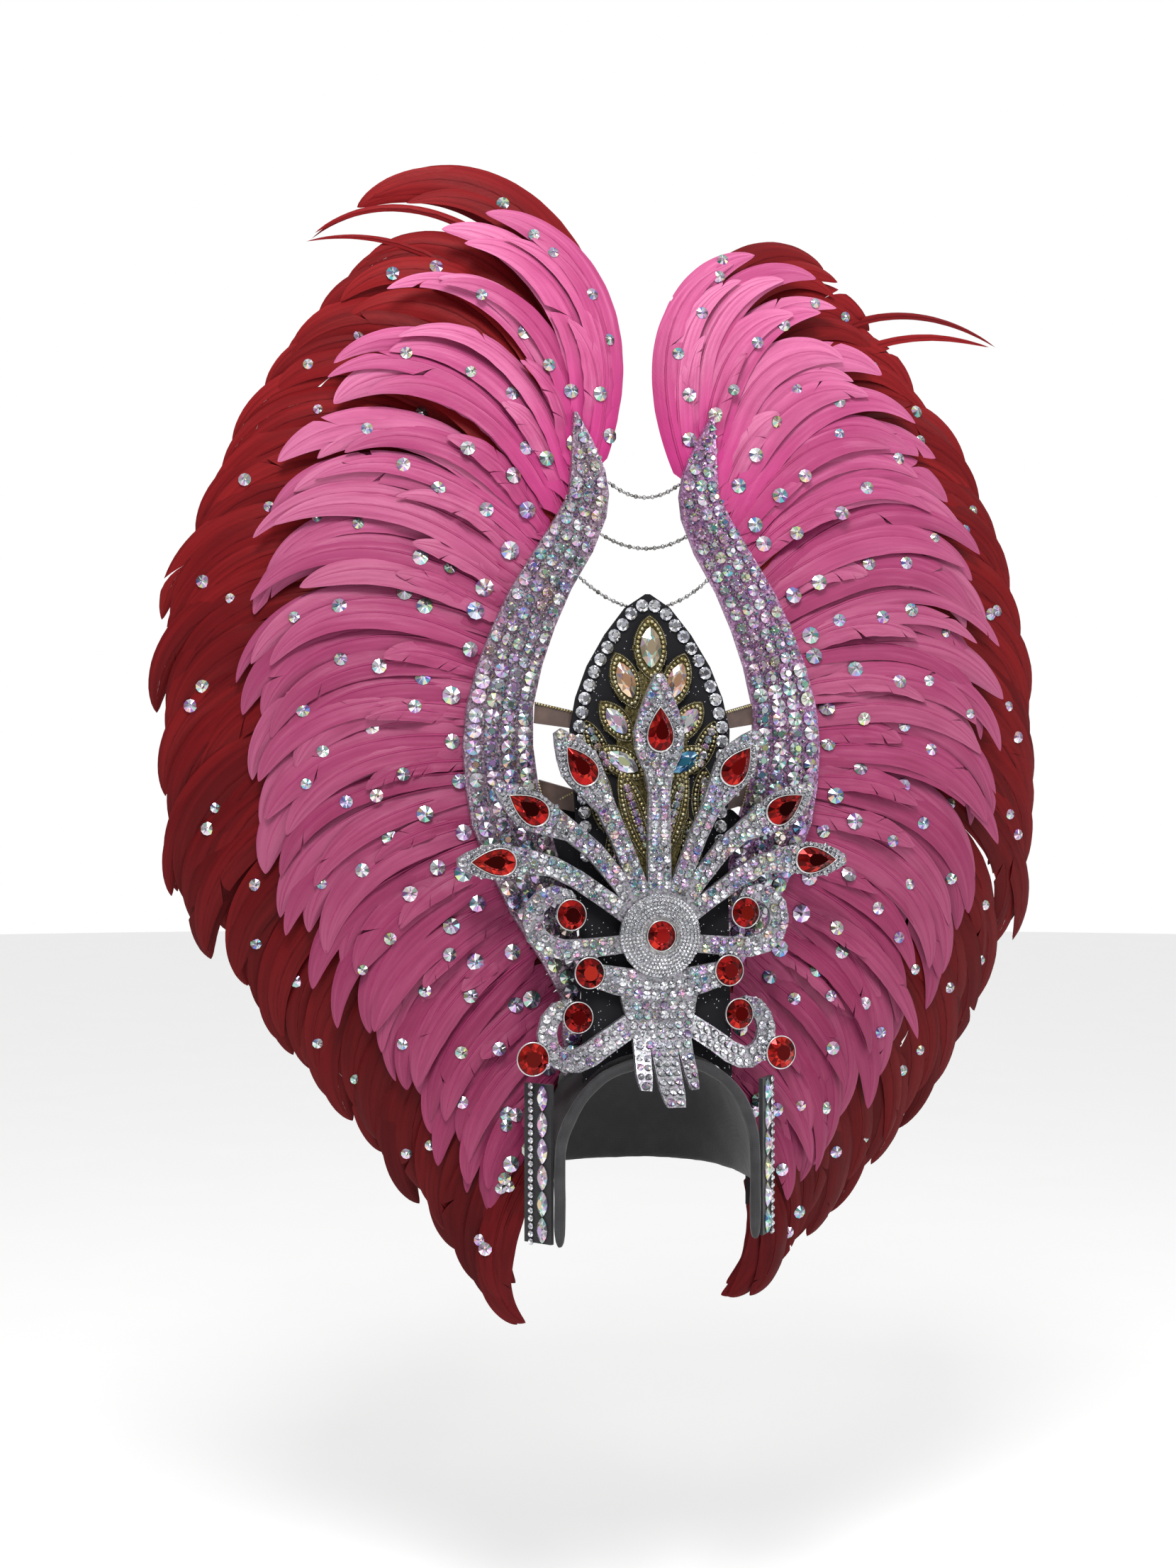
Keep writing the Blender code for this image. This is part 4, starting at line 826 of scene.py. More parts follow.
def make_horns():
    """Rows of coated stones over each horn, with small ones in the gaps."""
    sparkle = stone_finish("coated_stone", 0.14, 0.85)
    cloths = {"left": ((0.34, 0.15, 0.30), [
        (0.58, 0.32, 0.52), (0.38, 0.19, 0.35), (0.86, 0.64, 0.84), (0.46, 0.24, 0.54),
        (0.18, 0.08, 0.16)]), "right": ((0.34, 0.22, 0.30), [
            (0.50, 0.34, 0.46), (0.32, 0.22, 0.29), (0.80, 0.66, 0.76), (0.36, 0.30, 0.40),
            (0.14, 0.09, 0.13)])}
    for side, word in ((-1, "right"), (1, "left")):
        node = f"horn_{word}"
        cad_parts[node].data.materials.clear()
        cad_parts[node].data.materials.append(
            glitter_finish(f"horn_glitter_{word}", *cloths[word]))
        low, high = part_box(node)
        tree = surface(node)
        heights = np.linspace(low.z + 0.002, high.z - 0.003, 90)
        spans = np.array([spread_at(node, z) for z in heights])
        centre = np.column_stack([spans.mean(axis=1), np.zeros(90), heights])
        spots, ahead = evenly(centre, HORN_STONE * 0.98)
        pile = Pile()
        for k, (spot, way) in enumerate(zip(spots, ahead)):
            span = np.interp(spot[2], heights, spans[:, 1] - spans[:, 0])
            room = span * abs(way[2]) - 0.001
            share = (spot[2] - low.z) / (high.z - low.z)
            size = HORN_STONE if share < 0.62 else HORN_SMALL_STONE
            count = max(1, int(room / (size * 0.96)))
            pitch = min(room / count, size * 1.12)
            across = np.array([way[2], 0, -way[0]])
            for i in range(count):
                offset = (i - (count - 1) / 2) * pitch
                at = spot + across * offset
                point, normal = front(tree, at[0], at[2])
                if point is None:
                    continue
                width = min(pitch, size) * 0.97
                tilt = Vector(normal) + Vector(rng.uniform(-0.10, 0.10, 3))
                put(pile, RIVOLI if rng.random() < 0.5 else CHATON,
                    point + normal * 0.0001, tilt, way, (width, width, 0.0050), mood=0.30)
            for i in range(count + 1):
                offset = (i - count / 2) * pitch
                at = spot + across * offset + way * HORN_STONE * 0.5
                point, normal = front(tree, at[0], at[2])
                if point is None or abs(offset) > room / 2 - 0.0012:
                    continue
                put(pile, SMALL_CHATON, point, normal, way, (0.0034, 0.0034, 0.0022))
        pile.make(f"horn_stones_{word}", sparkle, "crystal_cloth")


# Ornament bands, as the solids have them: x and z above the medallion's centre and
# width, as shares of the span, rise and medallion radius
ORNAMENT_SPAN = 0.118
ORNAMENT_RISE = 0.143
MEDALLION_RADIUS = 0.029
MEDALLION_Z = 0.080
BANDS = {
    "top_arm": [(0, 0.14, 0.62), (0, 0.42, 0.56), (0, 0.74, 0.56), (0, 0.85, 0.98),
                (0, 0.96, 1.26), (0, 1.11, 0.90), (0, 1.27, 0.20)],
    "smile": [(-0.44, -0.17, 0.45), (-0.34, -0.20, 0.62), (-0.17, -0.23, 0.70),
              (0, -0.245, 0.72), (0.17, -0.23, 0.70), (0.34, -0.20, 0.62),
              (0.44, -0.17, 0.45)],
    "body": [(0, -0.27, 2.00), (0, -0.36, 1.76), (0, -0.47, 1.50), (0, -0.545, 1.36)],
    "drip_middle": [(0, -0.54, 0.68), (0, -0.62, 0.62), (0, -0.73, 0.58),
                    (0, -0.795, 0.42)],
}
SIDE_BANDS = {
    "drip_side": [(0.125, -0.52, 0.42), (0.135, -0.59, 0.36), (0.143, -0.67, 0.34),
                  (0.146, -0.725, 0.22)],
    "inner_arm": [(0.05, 0.08, 0.42), (0.20, 0.40, 0.45), (0.32, 0.62, 0.48),
                  (0.42, 0.75, 0.84), (0.48, 0.83, 0.98), (0.55, 0.92, 0.66),
                  (0.61, 0.99, 0.20)],
    "middle_arm": [(0.09, 0.08, 0.42), (0.32, 0.35, 0.45), (0.52, 0.50, 0.48),
                   (0.69, 0.57, 0.82), (0.78, 0.615, 0.90), (0.88, 0.675, 0.62),
                   (0.97, 0.73, 0.20)],
    "outer_arm": [(0.11, 0.05, 0.42), (0.41, 0.23, 0.45), (0.63, 0.335, 0.48),
                  (0.84, 0.365, 0.66), (0.98, 0.36, 0.84), (1.10, 0.36, 0.62),
                  (1.19, 0.36, 0.20)],
    "curl": [(0.11, -0.03, 0.42), (0.39, -0.055, 0.45), (0.61, -0.06, 0.50),
             (0.735, 0.01, 0.50), (0.745, 0.13, 0.48), (0.65, 0.20, 0.45),
             (0.54, 0.18, 0.40), (0.53, 0.105, 0.36)],
    "hook": [(0.12, -0.40, 0.52), (0.31, -0.50, 0.52), (0.46, -0.585, 0.54),
             (0.57, -0.60, 0.52), (0.655, -0.54, 0.48), (0.665, -0.43, 0.45),
             (0.59, -0.345, 0.40), (0.51, -0.350, 0.34)],
    "tip": [(0.60, -0.565, 0.34), (0.69, -0.58, 0.32), (0.755, -0.585, 0.28)],
}
BAND_STONE = 0.0062
SILVER_BANDS = ("body", "smile", "drip_middle", "drip_side", "hook", "tip")
RED_NODES = sorted(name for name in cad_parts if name.startswith("red_round")
                   or name.startswith("red_tear"))


def make_ornament():
    """Rows of coated stones along every band, with beads round each red stone."""
    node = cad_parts["front_ornament"]
    node.data.materials.clear()
    node.data.materials.append(glitter_finish("spray_glitter", (0.36, 0.35, 0.37), [
        (0.90, 0.90, 0.92), (0.46, 0.45, 0.50), (0.56, 0.40, 0.60), (0.34, 0.46, 0.42),
        (0.14, 0.13, 0.15)]))
    tree = surface("front_ornament")
    seats = {name: flat_seat(name) for name in RED_NODES}
    taken = []
    pile = Pile()

    def free(point, room):
        """Whether a stone has room among the red stones, the disc and its like."""
        for centre, _, tip, wide, long, _ in seats.values():
            gap = np.array([point.x - centre[0], point.z - centre[2]])
            way = np.array([tip[0], tip[2]])
            way = way / (np.linalg.norm(way) + 1e-9)
            along, across = gap @ way, gap @ np.array([-way[1], way[0]])
            if (along / (long / 2 + 0.0034)) ** 2 + (across / (wide / 2 + 0.0034)) ** 2 < 1:
                return False
        if math.hypot(point.x, point.z - MEDALLION_Z) < MEDALLION_RADIUS + room * 0.45:
            return False
        return all((point - other).length > (room + size) * 0.44 for other, size in taken)

    paths = [(name, knots, 1) for name, knots in BANDS.items()]
    paths += [(name, knots, side) for name, knots in SIDE_BANDS.items()
              for side in (-1, 1)]
    for name, knots, side in paths:
        clear = 0.55 if name in SILVER_BANDS else 0.18
        table = np.array(knots)
        path = np.array([blend(table, share) for share in np.linspace(0, 1, 60)])
        line = np.column_stack([path[:, 0] * ORNAMENT_SPAN, np.zeros(60),
                                MEDALLION_Z + path[:, 1] * ORNAMENT_RISE])
        widths = path[:, 2] * MEDALLION_RADIUS
        reach = np.concatenate([[0], np.cumsum(np.linalg.norm(np.diff(line, axis=0),
                                                              axis=1))])
        spots, ahead = evenly(line, BAND_STONE * 0.98)
        for k, (spot, way) in enumerate(zip(spots, ahead)):
            width = np.interp((k + 0.5) / len(spots) * reach[-1], reach, widths)
            count = max(1, int(round((width - 0.0006) / BAND_STONE)))
            pitch = min((width - 0.0006) / count, BAND_STONE * 1.1)
            size = min(pitch, BAND_STONE) * 0.98
            if size < 0.0025:
                continue
            across = np.array([way[2], 0, -way[0]])
            for i in range(count):
                at = spot + across * (i - (count - 1) / 2) * pitch
                point, normal = front(tree, side * at[0], at[2])
                if point is None or not free(point, size):
                    continue
                taken.append((point, size))
                tilt = Vector(normal) + Vector(rng.uniform(-0.12, 0.12, 3))
                tints = ((CLEAR, CLEAR_SHARES) if rng.random() < clear
                         else (COATED, COATED_SHARES))
                flat = 0.0 if name.startswith("drip") else 0.7
                put(pile, CHATON if rng.random() < flat else RIVOLI,
                    point + normal * 0.0001, tilt, (side * way[0], 0, way[2]),
                    (size, size, size * 0.50), *tints, 0.35)
    pile.make("spray_stones", stone_finish("spray_stone", 0.12, 0.85), "crystal_cloth")

    beads = Pile()
    for name, (centre, normal, tip, wide, long, high) in seats.items():
        sidewise = np.cross(tip, normal)
        kind = "tear" if "tear" in name else "round"
        ring = outline(kind, 48) / 2
        for reach, size in ((0.0024, 0.0036), (0.0060, 0.0036)):
            if kind == "round" and reach > 0.003:
                continue
            loop = [centre + sidewise * (-x) * (wide + 2 * reach)
                    + tip * y * (long + 2 * reach) for x, y in ring]
            spots, _ = evenly(loop + loop[:1], size * 1.02)
            for spot in spots:
                point, face = front(tree, spot[0], spot[2])
                if point is None:
                    continue
                put(beads, SMALL_CHATON, point, face, (0, 0, 1),
                    (size, size, size * 0.7), CLEAR, CLEAR_SHARES)
    beads.make("spray_beads", stone_finish("clear_bead", 0.10, 0.75), "crystal")


def make_red_stones():
    """Cut red teardrops and rounds in thin silver rings."""
    ruby = stone_finish("ruby_stone", 0.06, 0.92, 0.1, 0.0)
    silver = bead_finish("silver_ring", 0.2)
    rings = Pile()
    for name in RED_NODES:
        centre, normal, tip, wide, long, high = flat_seat(name)
        pile = Pile()
        shape = TEAR_RED if "tear" in name else ROUND_RED
        put(pile, shape, centre, normal, tip, (wide, long, high), RUBY, RUBY_SHARES, 0.15,
            0.0)
        pile.make(f"stone_{name}", ruby, "red_stone", [name])
        kind = "tear" if "tear" in name else "round"
        ring = outline(kind, 40) / 2
        sidewise = np.cross(tip, normal)
        levels = ((1.00, 0.0), (1.07, 0.0), (1.07, high * 0.30), (1.01, high * 0.36),
                  (0.985, high * 0.30))
        points = np.vstack([[centre + sidewise * (-x) * (wide * grow + 0.0003)
                             + tip * y * (long * grow + 0.0003) + normal * level
                             for x, y in ring] for grow, level in levels])
        count = len(ring)
        faces = []
        for row in range(len(levels)):
            following = (row + 1) % len(levels)
            for i in range(count):
                j = (i + 1) % count
                faces.append((row * count + i, row * count + j, following * count + j,
                              following * count + i))
        rings.add(points, faces, [(0.80, 0.80, 0.82)] * len(faces))
    rings.make("stone_rings", silver, "crystal_cloth", smooth=True)


def make_medallion():
    """Rings of fine clear stones on the turned disc."""
    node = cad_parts["medallion"]
    node.data.materials.clear()
    node.data.materials.append(glitter_finish("disc_glitter", (0.26, 0.26, 0.27), [
        (0.80, 0.80, 0.80), (0.40, 0.40, 0.42), (0.55, 0.54, 0.52), (0.20, 0.20, 0.20)]))
    tree = surface("medallion")
    low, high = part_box("medallion")
    centre = (low + high) / 2
    radius = (high.x - low.x) / 2
    pile = Pile()
    size = 0.0026
    reach = radius - size * 0.5
    while reach > 0.0125:
        count = int(2 * math.pi * reach / (size * 0.98))
        for i in range(count):
            angle = 2 * math.pi * (i + 0.5 * (int(reach * 1e4) % 2)) / count
            x, z = math.sin(angle) * reach, math.cos(angle) * reach
            point, normal = front(tree, centre.x + x, centre.z + z)
            if point is None:
                continue
            put(pile, SMALL_CHATON, point, normal, (x, 0, z), (size, size, size * 0.55),
                CLEAR, CLEAR_SHARES, 0.2)
        reach -= size * 1.02
    pile.make("medallion_stones", stone_finish("fine_stone", 0.12, 0.8), "crystal")


APPLIQUE_CENTRE = 0.200
APPLIQUE_HALF_WIDTH = 0.050
APPLIQUE_HALF_HEIGHT = 0.106
APPLIQUE_PETALS = [
    # x, z, length, width, lean in degrees, rows of beads
    (0.00, 0.760, 0.44, 0.50, 0, 2),
    (0.37, 0.54, 0.40, 0.43, 19, 2),
    (0.52, 0.27, 0.34, 0.40, 38, 2),
    (0.44, 0.00, 0.38, 0.42, 60, 2),
    (0.78, 0.10, 0.40, 0.32, 24, 6),
    (0.74, -0.24, 0.44, 0.36, 4, 6),
    (0.54, -0.58, 0.46, 0.34, -4, 6),
    (0.26, -0.36, 0.66, 0.40, 18, 6),
]
GOLD_BEAD = 0.0031
CORD_BEAD = 0.0016
SEQUIN = 0.0056
GOLD = np.array([(0.66, 0.58, 0.30), (0.46, 0.37, 0.14), (0.82, 0.78, 0.56),
                 (0.22, 0.17, 0.06)])
GOLD_SHARES = np.array([0.34, 0.24, 0.26, 0.16])


def make_applique():
    """Gold beads in rows round every petal, and the cut stones inside them."""
    gold = bead_finish("gold_bead")
    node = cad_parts["applique"]
    node.data.materials.clear()
    node.data.materials.append(glitter_finish("gold_cord", (0.10, 0.08, 0.03), [
        (0.24, 0.19, 0.07), (0.12, 0.10, 0.03), (0.34, 0.28, 0.12), (0.05, 0.04, 0.01)],
        900.0, 0.6))
    tree, cloth = surface("applique"), surface("plaque")
    pile = Pile()
    sequins = Pile()

    def seat(x, z):
        """Front of the applique, or of the cloth beside it."""
        point, normal = front(tree, x, z)
        return (point, normal) if point is not None else front(cloth, x, z)

    def rows_of_beads(x, z, length, width, lean, rows):
        """Leaf-shaped rows from the petal's edge inward: a dark cord, then beads."""
        up = np.array([math.sin(lean), 0, math.cos(lean)])
        right = np.array([up[2], 0, -up[0]])
        shape = outline("marquise", 60) / 2
        inset = 0.0
        for row in range(rows):
            cord = row % 2 == 0
            size, pitch = (CORD_BEAD, 0.80) if cord else (GOLD_BEAD, 1.06)
            shrink = inset + size / 2
            inset += size * 0.96
            wide, long = width - 2 * shrink, length - 2.6 * shrink
            if wide < size * 0.5 or long < size:
                break
            loop = [np.array([x, 0, z]) - right * a * wide + up * b * long
                    for a, b in shape]
            spots, _ = evenly(loop + loop[:1], size * pitch)
            for spot in spots:
                point, normal = seat(spot[0], spot[2])
                if point is None:
                    continue
                put(pile, BEAD, point + normal * size * 0.2, normal, up, (size, size, size),
                    GOLD * (0.40 if cord else 1.0), GOLD_SHARES, 0.5)

    def line_of_sequins(x, z, length, lean, size):
        """Coated stones along a petal's middle."""
        up = np.array([math.sin(lean), 0, math.cos(lean)])
        count = int(length / (size * 1.08))
        for k in range(count):
            spot = np.array([x, 0, z]) + up * (k - (count - 1) / 2) * size * 1.08
            point, normal = seat(spot[0], spot[2])
            if point is not None:
                put(sequins, CHATON, point + normal * 0.0012, normal, up,
                    (size, size * 1.05, size * 0.5), mood=0.35)

    for x_share, z_share, length, width, lean, rows in APPLIQUE_PETALS:
        for side in ((1,) if x_share == 0 else (-1, 1)):
            place = (side * x_share * APPLIQUE_HALF_WIDTH,
                     APPLIQUE_CENTRE + z_share * APPLIQUE_HALF_HEIGHT)
            tilt = math.radians(side * lean)
            rows_of_beads(*place, length * APPLIQUE_HALF_HEIGHT,
                          width * APPLIQUE_HALF_WIDTH, tilt, rows)
            if rows > 2:
                line_of_sequins(*place, 0.72 * length * APPLIQUE_HALF_HEIGHT, tilt, SEQUIN)
    for rise in (-0.62, -0.36, -0.10, 0.16):
        rows_of_beads(0, APPLIQUE_CENTRE + rise * APPLIQUE_HALF_HEIGHT,
                      0.30 * APPLIQUE_HALF_HEIGHT, 0.30 * APPLIQUE_HALF_WIDTH, 0, 4)
    sequins.make("applique_sequins", stone_finish("sequin", 0.12, 0.8), "crystal")
    pile.make("gold_beads", gold, "antique_gold", smooth=True)

    palettes = {"opal": (OPAL, OPAL_SHARES), "coated": (COATED, COATED_SHARES),
                "blue": (BLUE, BLUE_SHARES)}
    finish = stone_finish("marquise_stone", 0.10, 0.75, 0.2, 0.03)
    colours = {"top": "opal", "upper": "opal", "side": "coated", "wing": "blue"}
    for name in sorted(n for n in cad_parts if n.startswith("marquise_")):
        centre, normal, tip, wide, long, high = flat_seat(name)
        kind = colours[name.split("_")[1]]
        if name == "marquise_wing_left":
            kind = "blue"
        elif name == "marquise_wing_right":
            kind = "coated"
        single = Pile()
        put(single, MARQUISE, centre, normal, tip, (wide, long, high), *palettes[kind],
            0.35)
        single.make(f"cut_{name}", finish, "crystal", [name])


PLAQUE_STONE = 0.0092
PLAQUE_STONE_PITCH = 0.0099
PLAQUE_INSET = 0.0056
PLAQUE_STONES_END = 0.130


def make_plaque():
    """Sparkling black felt, with a row of clear stones along its edge."""
    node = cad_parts["plaque"]
    node.data.materials.clear()
    node.data.materials.append(felt_finish("black_felt", (0.010, 0.010, 0.012), 0.16))
    tree = surface("plaque")
    low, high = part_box("plaque")
    heights = np.concatenate([np.linspace(PLAQUE_STONES_END, high.z - 0.012, 60),
                              np.linspace(high.z - 0.011, high.z - 0.0006, 12)])
    half = np.array([spread_at("plaque", z)[1] for z in heights])
    rim = [np.array([x, 0, z]) for x, z in zip(half, heights)]
    inner = []
    for i, point in enumerate(rim):
        ahead = rim[min(i + 1, len(rim) - 1)] - rim[max(i - 1, 0)]
        ahead = ahead / np.linalg.norm(ahead)
        inner.append(point + np.array([-ahead[2], 0, ahead[0]]) * PLAQUE_INSET)
    inner = [point for point in inner if point[0] > 0.001]
    top = max(point[2] for point in inner)
    loop = [np.array([-p[0], 0, p[2]]) for p in inner] + [np.array([0, 0, top])]
    loop += inner[::-1]
    pile = Pile()
    spots, ahead = evenly(loop, PLAQUE_STONE_PITCH)
    for spot, way in zip(spots, ahead):
        point, normal = front(tree, spot[0], spot[2])
        if point is not None:
            put(pile, CHATON, point + normal * 0.0003, normal, way,
                (PLAQUE_STONE, PLAQUE_STONE, 0.0036), CLEAR, CLEAR_SHARES, 0.15)
    pile.make("plaque_edge_chatons", stone_finish("clear_stone", 0.08, 0.8), "crystal",
              ["plaque_edge_stones"])


STRAP_ANGLE = math.radians(53)
STRAP_STONES = 6
STRAP_STONE = (0.0095, 0.0178, 0.0036)
STRAP_SMALL_STONE = 0.0048


def make_straps():
    """Marquise stones down each strap and a row of small ones at its rear edge."""
    cloth = knit_finish("strap_cloth", (0.010, 0.010, 0.012), (0.035, 0.034, 0.038))
    finish = stone_finish("strap_stone", 0.10, 0.7)
    for side, word in ((-1, "right"), (1, "left")):
        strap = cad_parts[f"cheek_strap_{word}"]
        strap.data.materials.clear()
        strap.data.materials.append(cloth)
        facing = np.array([side * math.sin(STRAP_ANGLE), -math.cos(STRAP_ANGLE), 0])
        rear = np.array([side * math.cos(STRAP_ANGLE), math.sin(STRAP_ANGLE), 0])
        verts = np.array([v.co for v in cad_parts[f"strap_stones_{word}"].data.vertices])
        centre = (verts @ rear).min() + STRAP_STONE[0] / 2
        base = (verts @ facing).min()
        low, high = verts[:, 2].min(), verts[:, 2].max()
        first, last = low + STRAP_STONE[1] / 2, high - STRAP_STONE[1] / 2
        pile = Pile()
        for z in np.linspace(first, last, STRAP_STONES):
            put(pile, MARQUISE, rear * centre + facing * base + np.array([0, 0, z]), facing,
                (0, 0, 1), STRAP_STONE, COATED, COATED_SHARES, 0.3)
        for z in np.arange(low, high, STRAP_SMALL_STONE * 1.12):
            spot = rear * (centre + 0.0105) + facing * base + np.array([0, 0, z])
            put(pile, SMALL_CHATON, spot, facing, (0, 0, 1),
                (STRAP_SMALL_STONE, STRAP_SMALL_STONE, 0.0022), CLEAR, CLEAR_SHARES, 0.2)
        pile.make(f"strap_stones_cut_{word}", finish, "crystal", [f"strap_stones_{word}"])


CHAIN_BEAD = 0.0034


def make_chains():
    """Sagging chains of small silver beads between the horns."""
    finish = bead_finish("chain_bead", 0.2)
    silver = np.array([(0.36, 0.36, 0.37), (0.10, 0.10, 0.10), (0.66, 0.66, 0.68)])
    shares = np.array([0.4, 0.3, 0.3])
    for name in ("chain_top", "chain_middle", "chain_low"):
        low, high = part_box(name)
        radius = CHAIN_BEAD / 2
        reach = high.x - radius * 0.2
        ends = (low.y + high.y) / 2
        verts = np.array([v.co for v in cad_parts[name].data.vertices])
        end_y = verts[verts[:, 0] > high.x - 0.002][:, 1].mean()
        middle_y = verts[np.abs(verts[:, 0]) < 0.006][:, 1].mean() if len(verts) else ends
        end_z, low_z = high.z - radius, low.z + radius
        t = np.linspace(-1, 1, 80)
        line = np.column_stack([t * reach, middle_y + (end_y - middle_y) * t * t,
                                low_z + (end_z - low_z) * t * t])
        pile = Pile()
        spots, ahead = evenly(line, CHAIN_BEAD * 0.92)
        for i, (spot, way) in enumerate(zip(spots, ahead)):
            size = CHAIN_BEAD * (1.0 if i % 2 else 0.66)
            put(pile, BEAD, spot, way, (0, -1, 0), (size, size, CHAIN_BEAD), silver, shares,
                0.5)
        pile.make(f"bead_{name}", finish, "silver_chain", [name], smooth=True)


def make_strips():
    """Brown satin strips with a bead chain along their upper edge."""
    satin = satin_finish("brown_satin", (0.050, 0.026, 0.020), (0.150, 0.085, 0.065))
    finish = bead_finish("trim_bead")
    for name in ("brace_upper", "brace_lower"):
        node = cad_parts[name]
        node.data.materials.clear()
        node.data.materials.append(satin)
        verts = np.array([v.co for v in node.data.vertices])
        columns = sorted({round(x, 3) for x in verts[:, 0]})
        line = []
        for x in columns:
            near = verts[np.abs(verts[:, 0] - x) < 0.0015]
            top = near[near[:, 2] > near[:, 2].max() - 0.0012]
            line.append(top[np.argmin(top[:, 1])] + np.array([0, -0.0004, -0.0010]))
        line = np.array(line)
        pile = Pile()
        spots, ahead = evenly(line, 0.0021)
        for spot, way in zip(spots, ahead):
            put(pile, BEAD, spot, way, (0, -1, 0), (0.0020,) * 3, GOLD, GOLD_SHARES, 0.5)
        pile.make(f"trim_{name}", finish, "antique_gold", smooth=True)


def remake(node, name, finish, levels, wrinkle):
    """A smooth, slightly creased cloth skin in place of a faceted solid."""
    shape = merged(node)
    mesh = bpy.data.meshes.new(name)
    shape.to_mesh(mesh)
    shape.free()
    mesh.shade_smooth()
    piece = add_piece(name, mesh, finish, [node])
    smooth = piece.modifiers.new("smooth", "SUBSURF")
    smooth.levels = levels
    smooth.render_levels = levels
    texture = bpy.data.textures.new(f"{name}_crease", "CLOUDS")
    texture.noise_scale = 0.02
    crease = piece.modifiers.new("crease", "DISPLACE")
    crease.texture = texture
    crease.strength = wrinkle
    crease.mid_level = 0.5
    return piece


def make_cap_and_rim():
    """Stretch cloth cap, and the padded dark grey roll round the face."""
    remake("head_cap", "cloth_cap",
           knit_finish("cap_cloth", (0.012, 0.012, 0.014), (0.050, 0.048, 0.052)),
           2, 0.0012)
    remake("face_rim", "padded_rim",
           knit_finish("rim_cloth", (0.016, 0.016, 0.018), (0.075, 0.072, 0.076)),
           2, 0.0014)


# Corners of the felt between plaque and horn: x and z
GUSSET = [(0.040, 0.100), (0.072, 0.092), (0.084, 0.150), (0.066, 0.166), (0.046, 0.176)]
GUSSET_Y = -0.0045
GUSSET_DEPTH = 0.0016


def make_gussets():
    """Thin black felt that closes the corner between plaque and horn on each side."""
    felt = felt_finish("gusset_felt", (0.010, 0.010, 0.012), 0.10)
    for side, word in ((-1, "right"), (1, "left")):
        ring = GUSSET if side > 0 else [(-x, z) for x, z in GUSSET[::-1]]
        count = len(ring)
        points = [(x, GUSSET_Y + depth, z) for depth in (0, GUSSET_DEPTH) for x, z in ring]
        faces = [tuple(range(count)), tuple(range(2 * count - 1, count - 1, -1))]
        for i in range(count):
            j = (i + 1) % count
            faces.append((j, i, count + i, count + j))
        mesh = bpy.data.meshes.new(f"gusset_{word}")
        mesh.from_pydata(points, [], faces)
        add_piece(f"gusset_{word}", mesh, felt)


def make_backing():
    """Black felt on the stiff backing behind the fans."""
    felt = felt_finish("backing_felt", (0.010, 0.010, 0.012), 0.0)
    for word in ("left", "right"):
        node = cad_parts[f"wing_frame_{word}"]
        node.data.materials.clear()
        node.data.materials.append(felt)


# Stones glued on the feathers: share down the horn, share of the pink length
STONE_RINGS = [
    # distance from the horn as a share of the pink length, spacing, stone width
    (0.13, 0.030, 0.0118),
    (0.26, 0.036, 0.0108),
    (0.40, 0.042, 0.0098),
    (0.56, 0.048, 0.0092),
    (0.74, 0.062, 0.0086),
]
RED_STONE_RINGS = [(0.76, 0.070, 0.0086), (0.88, 0.090, 0.0086)]


def make_feather_stones():
    """Coated stones seated on the front feathers, smaller outwards."""
    finish = stone_finish("feather_stone", 0.10, 0.85)
    bpy.context.view_layer.update()
    for side, word in ((-1, "right"), (1, "left")):
        trees = {}
        for tier in ("pink", "red"):
            shape = bmesh.new()
            shape.from_mesh(bpy.data.objects[f"{tier}_feathers_{word}"].data)
            trees[tier] = BVHTree.FromBMesh(shape)
            shape.free()
        pile = Pile()
        for tier, rings in (("pink", STONE_RINGS), ("red", RED_STONE_RINGS)):
            for number, (distance, spacing, size) in enumerate(rings):
                marks = []
                for share in np.linspace(0.0, 0.93, 140):
                    line = quill_line(side, tier, share, 1.0, 0,
                                      math.radians(hang(tier, share)), 0)
                    marks.append(line[1 + int(distance * (len(line) - 2))])
                spots, _ = evenly(marks, spacing)
                for spot in spots:
                    x = spot[0] + rng.uniform(-0.008, 0.008)
                    z = spot[2] + rng.uniform(-0.009, 0.009)
                    hits = [front(trees[key], x, z) for key in trees]
                    hits = [hit for hit in hits if hit[0] is not None]
                    if not hits:
                        continue
                    point, normal = min(hits, key=lambda hit: hit[0].y)
                    tilt = normal + Vector((0, -1.2, 0)) + Vector(rng.uniform(-0.2, 0.2, 3))
                    width = size * rng.uniform(0.84, 1.14)
                    put(pile, RIVOLI, point + Vector((0, 0.0004, 0)), tilt, (0, 0, 1),
                        (width, width, width * 0.42), mood=0.25)
        pile.make(f"feather_stones_{word}", finish, "crystal")


# Stage

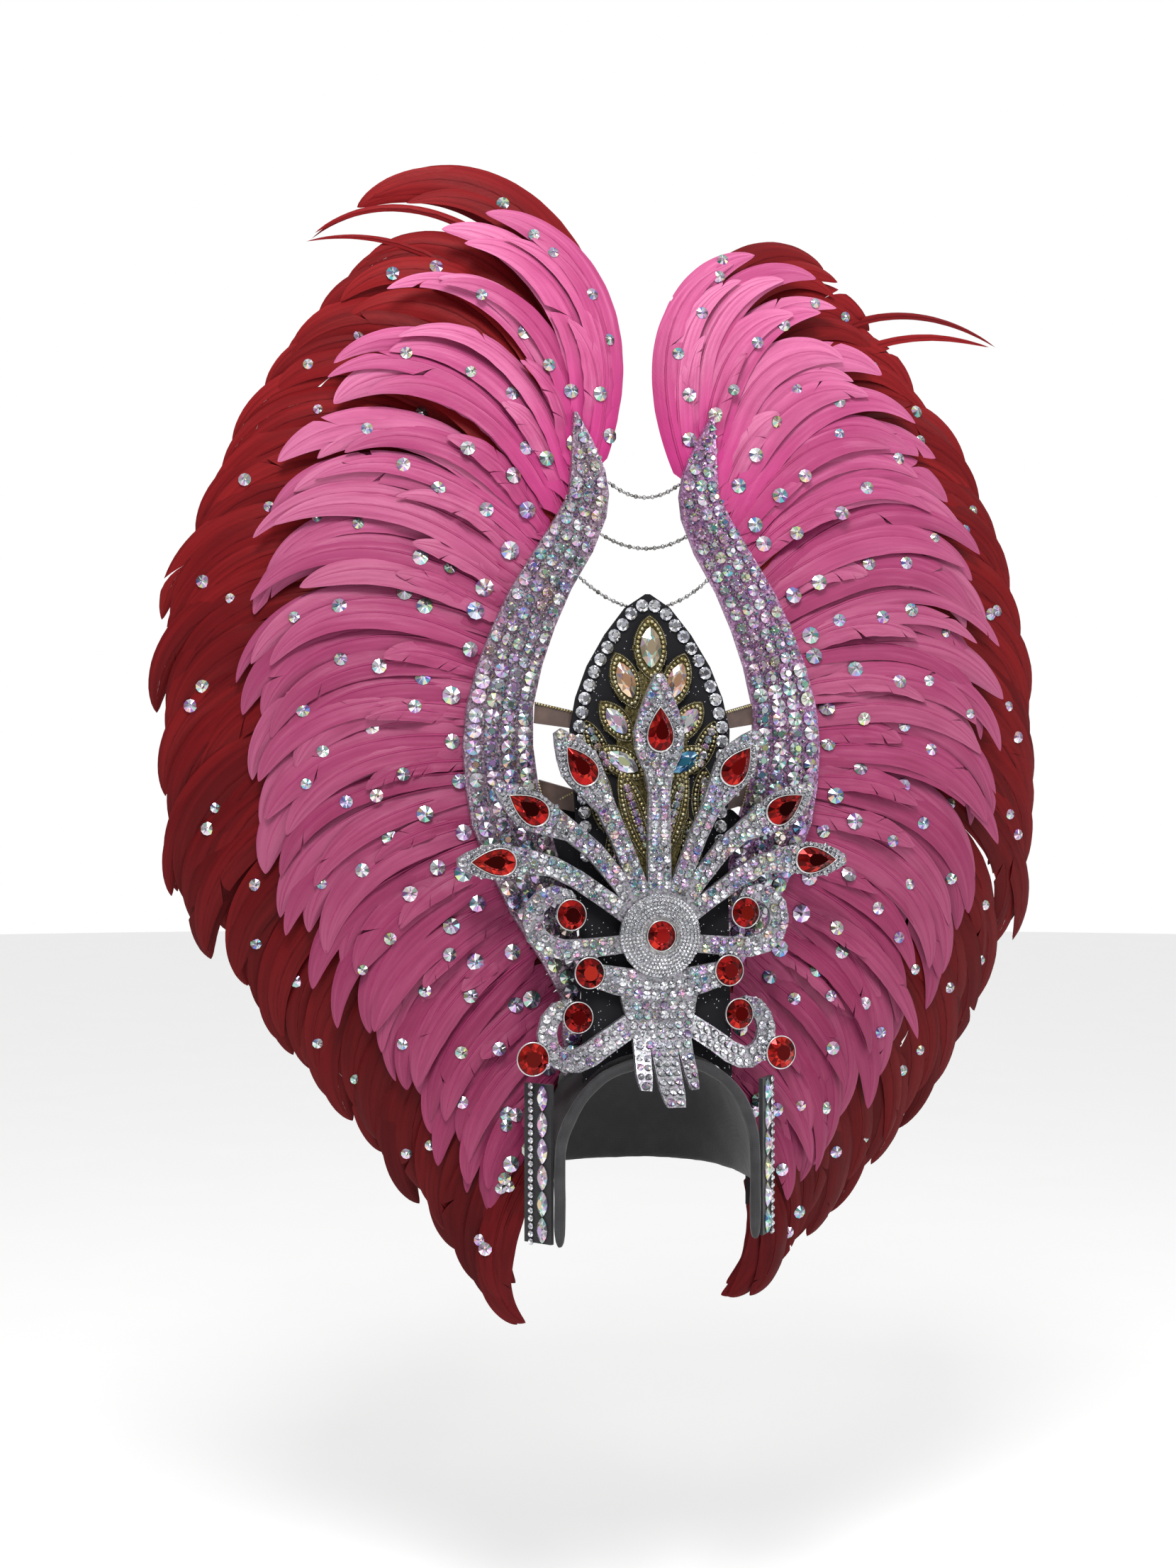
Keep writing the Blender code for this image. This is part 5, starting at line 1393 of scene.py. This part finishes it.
def make_stage():
    """Pale floor, white surround and soft studio light."""
    bpy.ops.mesh.primitive_circle_add(vertices=96, radius=9.0, fill_type="NGON",
                                      location=(0, 0, FLOOR_Z))
    floor = bpy.context.object
    floor.name = "floor"
    paint = Finish("pale_floor", Roughness=0.9)
    grain = paint.noise(6.0, 2.0)
    shade = paint.ramp(grain, [(0.0, (0.93, 0.93, 0.93)), (1.0, (0.96, 0.96, 0.96))])
    paint.shader.inputs["Emission Color"].default_value = (1.0, 1.0, 1.0, 1.0)
    paint.shader.inputs["Emission Strength"].default_value = 0.16
    floor.data.materials.append(paint.wire(Base_Color=shade))

    world = bpy.data.worlds.new("studio")
    world.use_nodes = True
    tree = world.node_tree

    def add(kind, **values):
        """A world node."""
        made = tree.nodes.new(kind)
        for key, value in values.items():
            setattr(made, key, value)
        return made

    ways = add("ShaderNodeSeparateXYZ")
    tree.links.new(add("ShaderNodeTexCoord").outputs["Generated"], ways.inputs[0])
    rise = add("ShaderNodeMapRange")
    tree.links.new(ways.outputs[2], rise.inputs[0])
    rise.inputs[1].default_value = -1.0
    tone = add("ShaderNodeValToRGB")
    tree.links.new(rise.outputs[0], tone.inputs[0])
    stops = tone.color_ramp.elements
    stops.new(0.5)
    stops.new(0.72)
    for stop, (place, level) in zip(stops, ((0.0, 0.06), (0.5, 0.18), (0.72, 0.52),
                                            (1.0, 1.0))):
        stop.position = place
        stop.color = (level, level, level, 1.0)
    path = add("ShaderNodeLightPath")
    seen = add("ShaderNodeMix", data_type="RGBA")
    tree.links.new(path.outputs["Is Camera Ray"], seen.inputs[0])
    tree.links.new(tone.outputs[0], seen.inputs[6])
    seen.inputs[7].default_value = (1.0, 1.0, 1.0, 1.0)
    background = tree.nodes["Background"]
    tree.links.new(seen.outputs[2], background.inputs[0])
    background.inputs[1].default_value = 1.0
    bpy.context.scene.world = world

    lights = [
        # name, place, size, watts
        ("key", (-0.5, -1.5, 1.8), 0.7, 36.0),
        ("fill", (1.4, -1.4, 0.7), 0.9, 7.0),
    ]
    for name, place, size, watts in lights:
        lamp = bpy.data.lights.new(name, "AREA")
        lamp.size = size
        lamp.energy = watts
        made = bpy.data.objects.new(name, lamp)
        made.location = place
        aim = Vector((0, 0, 0.18)) - Vector(place)
        made.rotation_euler = aim.to_track_quat("-Z", "Y").to_euler()
        bpy.context.scene.collection.objects.link(made)

    camera = bpy.data.cameras.new("camera")
    camera.lens = CAMERA_LENS
    camera.sensor_width = 36.0
    camera.clip_end = 40.0
    made = bpy.data.objects.new("camera", camera)
    made.location = CAMERA_PLACE
    made.rotation_euler = (math.pi / 2, 0, CAMERA_YAW)
    bpy.context.scene.collection.objects.link(made)
    bpy.context.scene.camera = made
    bpy.context.scene.view_settings.view_transform = "Standard"


make_stage()
make_cap_and_rim()
make_backing()
make_gussets()
make_plaque()
make_applique()
make_horns()
make_ornament()
make_red_stones()
make_medallion()
make_straps()
make_chains()
make_strips()
make_fans()
make_feather_stones()

bpy.context.view_layer.update()
